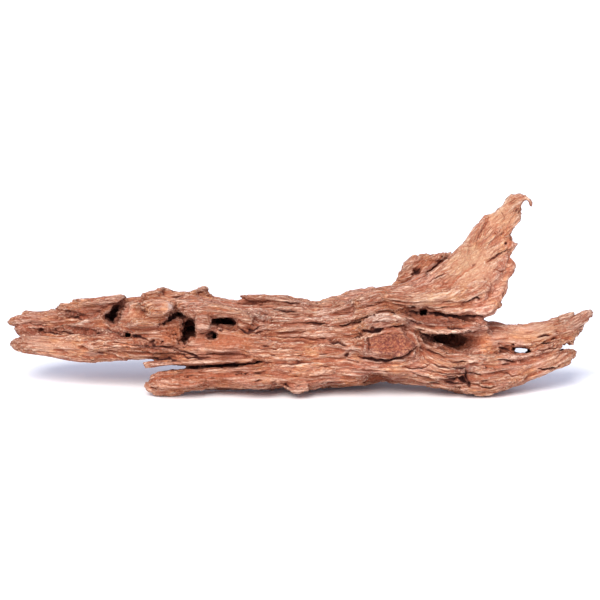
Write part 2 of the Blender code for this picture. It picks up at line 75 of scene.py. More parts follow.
# Nodes, written as sums
class Wire:                                   # one socket of a tree, or with none the bare tree
    def __init__(self, tree, socket=None):
        self.tree, self.socket = tree, socket

    def node(self, kind, settings=None, values=None, output=0):
        made = self.tree.nodes.new(kind)
        for name, value in (settings or {}).items():
            setattr(made, name, value)
        for name, value in (values or {}).items():
            socket = made.inputs[name] if isinstance(name, int) else next(
                s for s in made.inputs if s.name == name and s.enabled)
            if isinstance(value, Wire):
                self.tree.links.new(value.socket, socket)
            elif socket.type == "RGBA" and len(value) == 3:
                socket.default_value = (*value, 1)
            else:
                socket.default_value = value
        found = made.outputs[output] if isinstance(output, int) else next(
            s for s in made.outputs if s.name == output and s.enabled)
        return Wire(self.tree, found)

    def sum(self, operation, *values):
        return self.node("ShaderNodeMath", {"operation": operation}, dict(enumerate(values)))

    def __add__(self, other):
        return self.sum("ADD", self, other)

    def __radd__(self, other):
        return self.sum("ADD", other, self)

    def __sub__(self, other):
        return self.sum("SUBTRACT", self, other)

    def __rsub__(self, other):
        return self.sum("SUBTRACT", other, self)

    def __mul__(self, other):
        return self.sum("MULTIPLY", self, other)

    def __rmul__(self, other):
        return self.sum("MULTIPLY", other, self)

    def __truediv__(self, other):
        return self.sum("DIVIDE", self, other)

    def __rtruediv__(self, other):
        return self.sum("DIVIDE", other, self)

    def __pow__(self, other):
        return self.sum("POWER", self, other)

    def __abs__(self):
        return self.sum("ABSOLUTE", self)

    def most(self, other):
        return self.sum("MAXIMUM", self, other)

    def step(self, low, high):                # 0 at low to 1 at high; low may be the larger
        kind = {"interpolation_type": "SMOOTHSTEP", "clamp": True}
        if low > high:
            return 1 - self.step(high, low)
        values = {"Value": self, "From Min": low, "From Max": high}
        return self.node("ShaderNodeMapRange", kind, values)

    def vector(self, operation, *values, output=0):
        values = dict(enumerate((self, *values)))
        return self.node("ShaderNodeVectorMath", {"operation": operation}, values, output)

    def stretched(self, length, width):       # so that 1 is one length along and one width across
        if isinstance(length, Wire) or isinstance(width, Wire):
            sizes = self.node("ShaderNodeCombineXYZ", None, {"X": length, "Y": width, "Z": width})
            return self.vector("DIVIDE", sizes)
        return self.vector("MULTIPLY", (1 / length, 1 / width, 1 / width))

    def noise(self, scale=1.0, detail=2.0, roughness=0.5, seed=0.0, distortion=0.0, output=0):
        values = {"Vector": self, "W": seed, "Scale": scale, "Detail": detail,
                  "Roughness": roughness, "Distortion": distortion}
        return self.node("ShaderNodeTexNoise", {"noise_dimensions": "4D"}, values, output)

    def cells(self, scale=1.0, output="Distance"):
        return self.node("ShaderNodeTexVoronoi", None, {"Vector": self, "Scale": scale}, output)

    def blend(self, under, over, share):      # colours
        return self.node("ShaderNodeMix", {"data_type": "RGBA"}, {0: share, 6: under, 7: over}, 2)

    def swayed(self, length, width, reach, seed):      # grain coordinates that wander a little
        sway = self.stretched(length, width).noise(1, 2, 0.5, seed, output="Color")
        sway = sway.vector("SUBTRACT", (0.5, 0.5, 0.5)).vector("MULTIPLY", (0, reach, reach))
        return self.vector("ADD", sway)

    def valleys(self, length, width, narrow, seed):    # 1 on lines along the grain, 0 off them
        wave = self.stretched(length, width).noise(1, 2, 0.55, seed)
        return abs(wave - 0.5).step(narrow, 0.0)


def addTree(name, sizes):
    # a Geometry Nodes tree with a geometry in and out and one named number for each of sizes
    tree = bpy.data.node_groups.new(name, "GeometryNodeTree")
    tree.interface.new_socket(name="Geometry", in_out="INPUT", socket_type="NodeSocketGeometry")
    for label, value in sizes.items():
        kind = "NodeSocketMaterial" if isinstance(value, bpy.types.Material) else "NodeSocketFloat"
        tree.interface.new_socket(name=label, in_out="INPUT", socket_type=kind)
    tree.interface.new_socket(name="Geometry", in_out="OUTPUT", socket_type="NodeSocketGeometry")
    start = tree.nodes.new("NodeGroupInput")
    inputs = {socket.name: Wire(tree, socket) for socket in start.outputs if socket.name}
    return tree, inputs


def endTree(tree, geometry, finish):
    real = geometry.node("GeometryNodeRealizeInstances", None, {"Geometry": geometry})
    dressed = real.node("GeometryNodeSetMaterial", None, {"Geometry": real, "Material": finish})
    end = tree.nodes.new("NodeGroupOutput")
    tree.links.new(dressed.socket, end.inputs[0])


def runTree(piece, tree, sizes):
    # puts the tree on the piece, and keeps its result as the piece's plain mesh
    modifier = piece.modifiers.new(tree.name, "NODES")
    modifier.node_group = tree
    for item in tree.interface.items_tree:
        if item.in_out == "INPUT" and item.name in sizes:
            modifier[item.identifier] = sizes[item.name]
    return bake(piece)


def bake(piece):
    # the piece's live modifiers become its mesh
    graph = bpy.context.evaluated_depsgraph_get()
    live = piece.evaluated_get(graph)
    mesh = bpy.data.meshes.new_from_object(live, preserve_all_data_layers=True, depsgraph=graph)
    piece.modifiers.clear()
    old = piece.data
    piece.data = mesh
    bpy.data.meshes.remove(old)
    mesh.name = piece.name
    return piece


def addPiece(name, mesh):
    piece = bpy.data.objects.new(name, mesh)
    bpy.context.scene.collection.objects.link(piece)
    return piece


def placesOf(piece):
    places = np.zeros(len(piece.data.vertices) * 3, np.float32)
    piece.data.vertices.foreach_get("co", places)
    return places.reshape(-1, 3).astype(float)


def normalsOf(piece):
    normals = np.zeros(len(piece.data.vertices) * 3, np.float32)
    piece.data.vertex_normals.foreach_get("vector", normals)
    return normals.reshape(-1, 3).astype(float)


def keepNumbers(piece, name, numbers):
    kind = "FLOAT_VECTOR" if numbers.ndim == 2 else "FLOAT"
    layer = piece.data.attributes.new(name, kind, "POINT")
    layer.data.foreach_set("vector" if numbers.ndim == 2 else "value", numbers.astype(np.float32).ravel())


# The bare wood: the CAD limb forms, made fine enough to carve
bareWood = {
    "firstVoxel": 0.90 * mm,
    "fineVoxel": 0.60 * mm,
    "easing": 10,             # smoothing rounds, which take the CAD's facets away
    "tipSides": 10,           # points round an added tip
    "tipStep": 0.34,          # share of the way between two rungs for each section
    "squareness": 0.65,       # under 1 fills out the corners of a section
    "faces": 192000,          # triangles that are kept at the end
}

# Thin tips and flakes, too fine for the CAD. A rung crosses one: its upper edge and its lower
# edge as x, y in the photo's pixels, and how deep its front and its back lie, in mm.
tips = {
    "leftUpper": [
        (4.5, 321.3, 5, 323.3, 4.5, 8), (9, 317.8, 9, 325.5, 2, 12), (18, 315.3, 17, 327.5, -1, 14),
        (28, 312, 28, 328, -4, 17), (40, 312.5, 40, 327, -4, 16), (52, 310.5, 52, 326, -5, 14),
        (66, 308, 66, 324, -5, 13),
    ],
    "leftMiddle": [(12, 328.5, 13, 331, 3, 8), (18, 327, 18, 336, 0, 13), (30, 327, 30, 337, -2, 15)],
    "leftLower": [
        (8, 343.5, 9, 346, 3, 7), (13, 338.8, 14, 350, -1.5, 13), (20, 337, 20, 352.5, -5.5, 16),
        (32, 339, 32, 353.8, -9, 18), (46, 344, 46, 355.8, -9.5, 18), (62, 349, 62, 359, -9, 16),
        (76, 351, 76, 361.5, -10.5, 15), (92, 352, 92, 362.3, -12.5, 14), (110, 352, 110, 361.5, -14.5, 12),
        (130, 350, 130, 359.8, -17, 10), (148, 348, 148, 358.8, -17, 8),
    ],
    "leftRoof": [
        (54, 308.5, 54, 313, -2, 10), (59, 304, 60, 312, -5.5, 12), (72, 302.5, 72, 313, -7, 13),
        (86, 301, 86, 313, -6, 12), (98, 299, 98, 311, -7, 10),
    ],
    "rightUpper": [
        (593.5, 312.5, 593, 317, -7, -3), (590, 310, 588, 322, -9, -2), (584, 310.8, 580, 333, -10.5, -1),
        (577, 315, 574, 344, -11, 0), (564, 322, 562, 344, -9, 2),
    ],
    "rightSpike": [
        (574, 311.7, 574.5, 315, -8, -5), (568, 313.7, 568, 322, -10, -3), (556, 317.3, 556, 330, -9, 0),
    ],
    "eyeTop": [
        (506, 341, 506, 347, -17, -10), (516, 342, 517, 347.9, -18.5, -10),
        (527, 342, 527, 348.4, -18.5, -10), (538, 341, 538, 349.3, -17, -10),
    ],
    "eyeLow": [
        (508, 353, 508, 358, -21, -12), (519, 353.2, 520, 359, -21, -12), (530, 352.3, 530, 358, -20, -12),
        (540, 351.3, 540, 358, -18, -12),
    ],
    "rightLower": [
        (576.3, 349, 575.6, 356, -9, -6), (571.5, 348.5, 571, 361, -12.5, -4),
        (563, 348.7, 562, 366.3, -15, -2), (548, 350.5, 547.5, 373.3, -18.5, 0),
        (536, 353, 535, 379, -18, 0),
    ],
    "hook": [
        (531.5, 206.5, 529.5, 205.8, -14, -11.5), (532.3, 202.5, 528.6, 203, -14.5, -11),
        (530.3, 198.3, 527, 200.8, -14.8, -10.5), (525.5, 194.8, 524.3, 200.5, -15.2, -10.2),
        (518, 194.3, 519.5, 204, -16, -10.2), (510, 196.5, 516, 211, -15.5, -11),
    ],
    "finSpike": [
        (518.5, 243, 518, 246, -16, -13.5), (514, 242.3, 513.5, 250, -18, -13),
        (506, 243, 505, 255, -19, -13),
    ],
    "finBarb": [
        (515.5, 264.5, 514.8, 267, -19.5, -17), (511.5, 262, 509, 274, -20.5, -15),
        (503, 263, 501, 280, -20, -14),
    ],
    "finFoot": [
        (501.5, 304, 500.5, 308.5, -22, -18), (497, 298.5, 494, 310.5, -26, -18),
        (488, 297, 484, 314, -27, -18),
    ],
    "topFlake": [
        (239, 295.2, 240, 297.3, -3, 2), (248, 294.8, 248, 300.3, -5.5, 6), (262, 295.3, 262, 302, -7, 8),
        (279, 295.3, 280, 302, -8, 8), (292, 296, 292, 302, -6, 8),
    ],
    "slotFlake": [
        (125.5, 294.7, 125.5, 297.8, -13, -7), (118, 296.3, 117, 302.5, -13, -4),
        (104, 298.8, 104, 307, -12, -2), (90, 300.5, 90, 308, -6, 0),
    ],
    "slotWallDeep": [
        (119, 303, 129, 302, -4, 6), (117, 311, 129, 310, -5, 6), (114.5, 319, 127, 320, -7, 4),
        (113, 325, 122, 327, -9, 2),
    ],
    "slotWall": [
        (124, 302.5, 135, 302, -11, 0), (122.5, 311, 135, 310, -13, 0), (119.5, 319, 132, 320, -15, 0),
    ],
    "slotWallHigh": [
        (130, 302, 141, 303, -19, -8), (128.5, 311, 140, 311, -20, -8), (126, 319, 137, 320, -20, -8),
    ],
    "crackFill": [
        (133, 333, 133, 339, -24, -14), (143, 334, 143, 341, -25.5, -14), (150, 336, 150, 345, -25, -14),
        (160, 337.5, 160, 345.5, -26, -14),
    ],
    "chip": [
        (197, 311, 212, 312, -34, -24), (196.5, 318, 212.3, 319, -37, -29),
        (196.8, 325, 211.5, 325.5, -38.5, -32), (199.5, 330.2, 207.5, 329.6, -38, -33),
    ],
    "lip": [
        (176, 300, 178, 311, -25, -10), (187, 301, 189, 317, -29, -10), (197, 302, 198, 319, -33, -12),
        (210, 303, 210, 319, -34.5, -12), (222, 304, 222, 317, -33, -12), (235, 307, 235, 318, -33, -14),
        (247, 310, 243, 322, -32, -16), (257.5, 315, 254.5, 326.5, -30, -18),
    ],
    "lipEnd": [
        (246, 308, 247, 316, -26, -10), (255, 310, 256, 319, -28, -15),
        (262.5, 314.5, 261.5, 318.5, -27, -18),
    ],
    "knotPlug": [(205, 331, 205, 338.5, -24, -12), (216, 331, 216, 338.5, -24, -12)],
    "slotFloor": [
        (205, 325, 205, 331, -26, -8), (213, 324, 213, 331.5, -27, -8), (222, 325, 222, 337, -27, -6),
        (234, 325, 234, 337, -27, -6), (246, 326, 246, 337, -27, -10),
    ],
    "underSplinter": [
        (145.5, 365, 146, 367.6, -24, -20), (151, 361.5, 152, 366.8, -29, -20),
        (160, 360.5, 161, 365.3, -31, -18), (174, 360.8, 174, 364.4, -31.5, -12),
        (190, 361.5, 190, 365.6, -31.5, -8), (214, 360.8, 214, 365, -31.5, -4),
        (240, 358, 240, 363.6, -29, 0), (256, 356, 256, 361, -29, 4),
    ],
    "splinterTop": [
        (144.5, 362.2, 145, 364, -24, -21), (150, 360.8, 151, 366, -26, -19),
        (158, 361, 158, 366, -28, -18),
    ],
    "prongTop": [
        (151, 374.5, 151, 386, -25, -12), (160, 371.6, 160, 382, -28, -8), (170, 370.4, 170, 380, -30, -6),
        (185, 368.2, 185, 379, -31.5, -4), (205, 367, 205, 378, -32, -2), (225, 366.3, 225, 378, -32, 0),
        (245, 365, 245, 376, -32.5, 4), (260, 363.4, 260, 374, -32, 8), (272, 360.5, 272, 372, -30, 12),
    ],
    "creviceFill": [
        (334, 319, 334, 327, -25, -15), (350, 316, 350, 325, -28.5, -15), (362, 312, 362, 321.5, -31, -15),
        (374, 308, 374, 317.5, -32, -15), (388, 306, 388, 315, -32, -15), (400, 308, 400, 315, -31, -15),
    ],
    "pitFill": [(426.8, 305, 426.8, 317, -26, -12), (438, 305, 438, 316, -26, -12)],
    "pitTop": [(417, 303, 417, 310.3, -27, -14), (430, 303, 430, 310.3, -26.5, -14)],
    "rotSlab": [
        (161, 327.5, 160.5, 337, -27, -12), (167, 321.5, 166, 342, -27, -10),
        (173, 316.5, 173, 346, -26, -10), (179.5, 314.5, 179.5, 347, -24, -9),
        (185, 317, 183.5, 345, -20, -7),
    ],
    "caveTongue": [
        (441.5, 343.8, 441.5, 345.4, -31, -28), (437, 343, 437, 347, -32.5, -28),
        (430, 343.5, 430, 349, -32, -27),
    ],
    "finPlate": [
        (484.5, 213, 487.5, 217.5, -16, -12), (479, 220.5, 485.5, 225, -17.5, -11),
        (471.5, 231, 481, 237, -18.5, -11), (465, 242, 474, 248, -19, -12), (458, 252, 468, 258, -18, -14),
    ],
    "finCrown": [
        (511, 194.6, 515, 197, -14.5, -10.5), (505.8, 199, 513, 204, -15.5, -11),
        (502.3, 205, 512, 210, -16.5, -11), (496.3, 210.2, 507, 216, -17, -11.5),
        (491, 215.8, 500, 222, -17.5, -12),
    ],
    "burr": [
        (282, 381, 283, 386.5, -31, -14), (289, 382, 291, 390.5, -31, -16),
        (295.5, 382, 297.5, 393.4, -30.5, -18), (301, 382, 303, 391.3, -31, -18),
        (309, 382, 311, 389, -31, -14),
    ],
    "burlRim": [
        (391, 285.5, 398, 290, -10, 6), (397.3, 281, 402, 286, 0, 10), (399.3, 273.8, 406, 279, 2.5, 14),
        (404, 264, 412, 270, 2.5, 14), (411, 256.8, 416, 264, 4, 15), (419.5, 253.8, 421, 262, 4, 15),
        (432, 253.6, 433, 261, 4, 14), (440.5, 253.4, 443, 261, 2, 12), (448, 251, 452, 258, -8, 6),
    ],
    "brow": [
        (358, 326, 360, 330, -38, -30), (364, 319, 366, 329, -42, -30), (372, 317, 375, 329.5, -46, -30),
        (383, 316, 384, 326.3, -47, -30), (394, 315.5, 395, 325, -47, -30),
        (404.5, 315.5, 405, 324.5, -45, -30), (407.5, 318, 407, 323, -41, -30),
    ],
    "lamellaEdge": [
        (412, 325, 413, 329, -35, -28), (424, 327, 424, 333, -37, -27), (440, 328, 440, 333.8, -36, -26),
        (454, 327.5, 454, 333, -34.5, -24), (468, 325.5, 468, 331.5, -32, -22),
        (482, 322.5, 482, 328, -27, -18),
    ],
}


def fromPicture(x, up, deep):
    tip, middle = photoView["tip"], photoView["middle"]
    place = (x, up * math.sin(tip) + deep * math.cos(tip), up * math.cos(tip) - deep * math.sin(tip))
    return tuple((a - b) * mm for a, b in zip(place, middle))


def addTip(rungs, points, faces):
    # a closed limb whose sections are squarish ovals hung on the rungs
    rows = np.array(rungs, float)
    stops = np.arange(0, len(rows) - 1 + 0.01, bareWood["tipStep"])
    rows = np.column_stack([np.interp(stops, np.arange(len(rows)), column) for column in rows.T])
    sides, first = bareWood["tipSides"], len(points)
    for x1, y1, x2, y2, front, back in rows:
        for k in range(sides):
            turn = 2 * math.pi * k / sides
            circle = (math.cos(turn), math.sin(turn))
            rise, reach = (math.copysign(abs(v) ** bareWood["squareness"], v) for v in circle)
            x, up = fromPixels((x1 + x2 + (x1 - x2) * rise) / 2, (y1 + y2 + (y1 - y2) * rise) / 2)
            points.append(fromPicture(x, up, (front + back + (back - front) * reach) / 2))
    for i in range(len(rows) - 1):
        for k in range(sides):
            a, b = first + i * sides + k, first + i * sides + (k + 1) % sides
            faces.append((a, b, b + sides, a + sides))
    faces.append(tuple(range(first + sides - 1, first - 1, -1)))
    faces.append(tuple(range(len(points) - sides, len(points))))


def makeBareWood(node):
    corners = placesOf(node)
    grid = np.round(corners * 1e6).astype(int)    # corners that meet fall on one point of it
    _, firsts, joined = np.unique(grid, axis=0, return_index=True, return_inverse=True)
    faces = []
    for face in node.data.polygons:
        one = [int(joined[v]) for v in face.vertices]
        if len(set(one)) == len(one):
            faces.append(one)
    mesh = bpy.data.meshes.new("driftwoodWood")
    mesh.from_pydata(corners[firsts].tolist(), [], faces)
    piece = addPiece("driftwoodWood", mesh)
    rounder = piece.modifiers.new("round", "SUBSURF")
    rounder.levels = rounder.render_levels = 1
    even = piece.modifiers.new("even", "REMESH")
    even.mode, even.voxel_size = "VOXEL", bareWood["firstVoxel"]
    for _ in range(bareWood["easing"]):           # in and out again, so that thin ends don't shrink
        for factor in (0.5, -0.52):
            ease = piece.modifiers.new("ease", "SMOOTH")
            ease.factor, ease.iterations = factor, 1
    bake(piece)
    points = placesOf(piece).tolist()
    faces = [tuple(face.vertices) for face in piece.data.polygons]
    for rungs in tips.values():
        addTip(rungs, points, faces)
    mesh = bpy.data.meshes.new("driftwoodWood")
    mesh.from_pydata(points, [], faces)
    piece.data = mesh
    fine = piece.modifiers.new("fine", "REMESH")
    fine.mode, fine.voxel_size = "VOXEL", bareWood["fineVoxel"]
    ease = piece.modifiers.new("ease", "SMOOTH")
    ease.factor, ease.iterations = 0.5, 2
    bake(piece)
    print("driftwood scene: bare wood,", len(piece.data.vertices), "points")
    return piece


# The grain: lines in the picture that the fibres follow, as (level, points in mm)
grainLines = [
    (0, [(-116, 1), (-60, 0), (0, 1), (60, 4), (127, 0), (170, 7), (199, 20)]),
    (20, [(-207, 31), (-150, 24), (-98, 21), (-45, 20), (0, 20), (100, 17), (150, 18), (190, 28)]),
    (26, [(0, 27), (37, 29), (54, 25), (75, 26), (92, 30)]),
    (45, [(-212, 46), (-150, 46), (-100, 45), (-60, 43), (0, 44), (100, 42), (150, 42), (190, 46),
          (212, 54)]),
    (52, [(30, 49), (47, 52), (64, 58), (82, 55), (100, 50)]),
    (60, [(-190, 54), (-150, 56), (-60, 54), (0, 53), (47, 57), (75, 60), (105, 58), (135, 56),
          (169, 51), (184, 55), (206, 59)]),
    (67, [(0, 58), (80, 62), (110, 63), (130, 67), (145, 73), (152, 77)]),
    (76, [(0, 63), (80, 68), (110, 73), (135, 84), (150, 96), (159, 103)]),
    (86, [(-150, 68), (0, 68), (75, 75), (100, 82), (125, 97), (142, 114), (156, 127), (165, 136)]),
    (96, [(-100, 80), (0, 73), (40, 76), (75, 82), (95, 92), (115, 106), (130, 126), (145, 139),
          (160, 150)]),
]
grainSetup = {
    "softness": 40,           # how freely the grain may miss the lines
    "columns": (-235.0, 236.0),      # mm that the map covers, from left to right
    "rows": (-20.0, 176.0),   # and upwards
    "finFoot": 75,            # mm up to where the fibres bend into the fin
    "finLean": 0.9,           # mm that they run on for each mm up it
}


def grainMap():
    # a thin-plate surface through the lines, on a 1 mm grid: its level curves are the grain
    known = np.array([point for _, line in grainLines for point in line], float)
    level = np.array([value for value, line in grainLines for _ in line], float)

    def bend(a, b):
        square = ((a[:, None, :] - b[None, :, :]) ** 2).sum(axis=2) + 1e-9
        return square * np.log(square) / 2

    count = len(known)
    flat = np.column_stack([np.ones(count), known])
    system = np.zeros((count + 3, count + 3))
    system[:count, :count] = bend(known, known) + grainSetup["softness"] * np.eye(count)
    system[:count, count:] = flat
    system[count:, :count] = flat.T
    weights = np.linalg.solve(system, np.append(level, [0, 0, 0]))
    xs, ups = np.arange(*grainSetup["columns"]), np.arange(*grainSetup["rows"])
    grid = np.stack(np.meshgrid(xs, ups, indexing="ij"), axis=-1).reshape(-1, 2)
    across = np.concatenate([bend(part, known) @ weights[:count] for part in np.array_split(grid, 8)])
    across += np.column_stack([np.ones(len(grid)), grid]) @ weights[count:]
    return xs, ups, across.reshape(len(xs), len(ups))


def readMap(xs, ups, values, x, up):
    i = np.clip(x - xs[0], 0, len(xs) - 1.001)
    j = np.clip(up - ups[0], 0, len(ups) - 1.001)
    a, b = i.astype(int), j.astype(int)
    s, t = i - a, j - b
    low = values[a, b] * (1 - s) + values[a + 1, b] * s
    high = values[a, b + 1] * (1 - s) + values[a + 1, b + 1] * s
    return low * (1 - t) + high * t


def layGrain(piece):
    x, up, deep = toPicture(placesOf(piece))
    level = readMap(*grainMap(), x, up)
    along = x + grainSetup["finLean"] * np.clip(up - grainSetup["finFoot"], 0, None)
    keepNumbers(piece, "grain", np.column_stack([along, level, deep]) * mm)
    print("driftwood scene: grain laid")


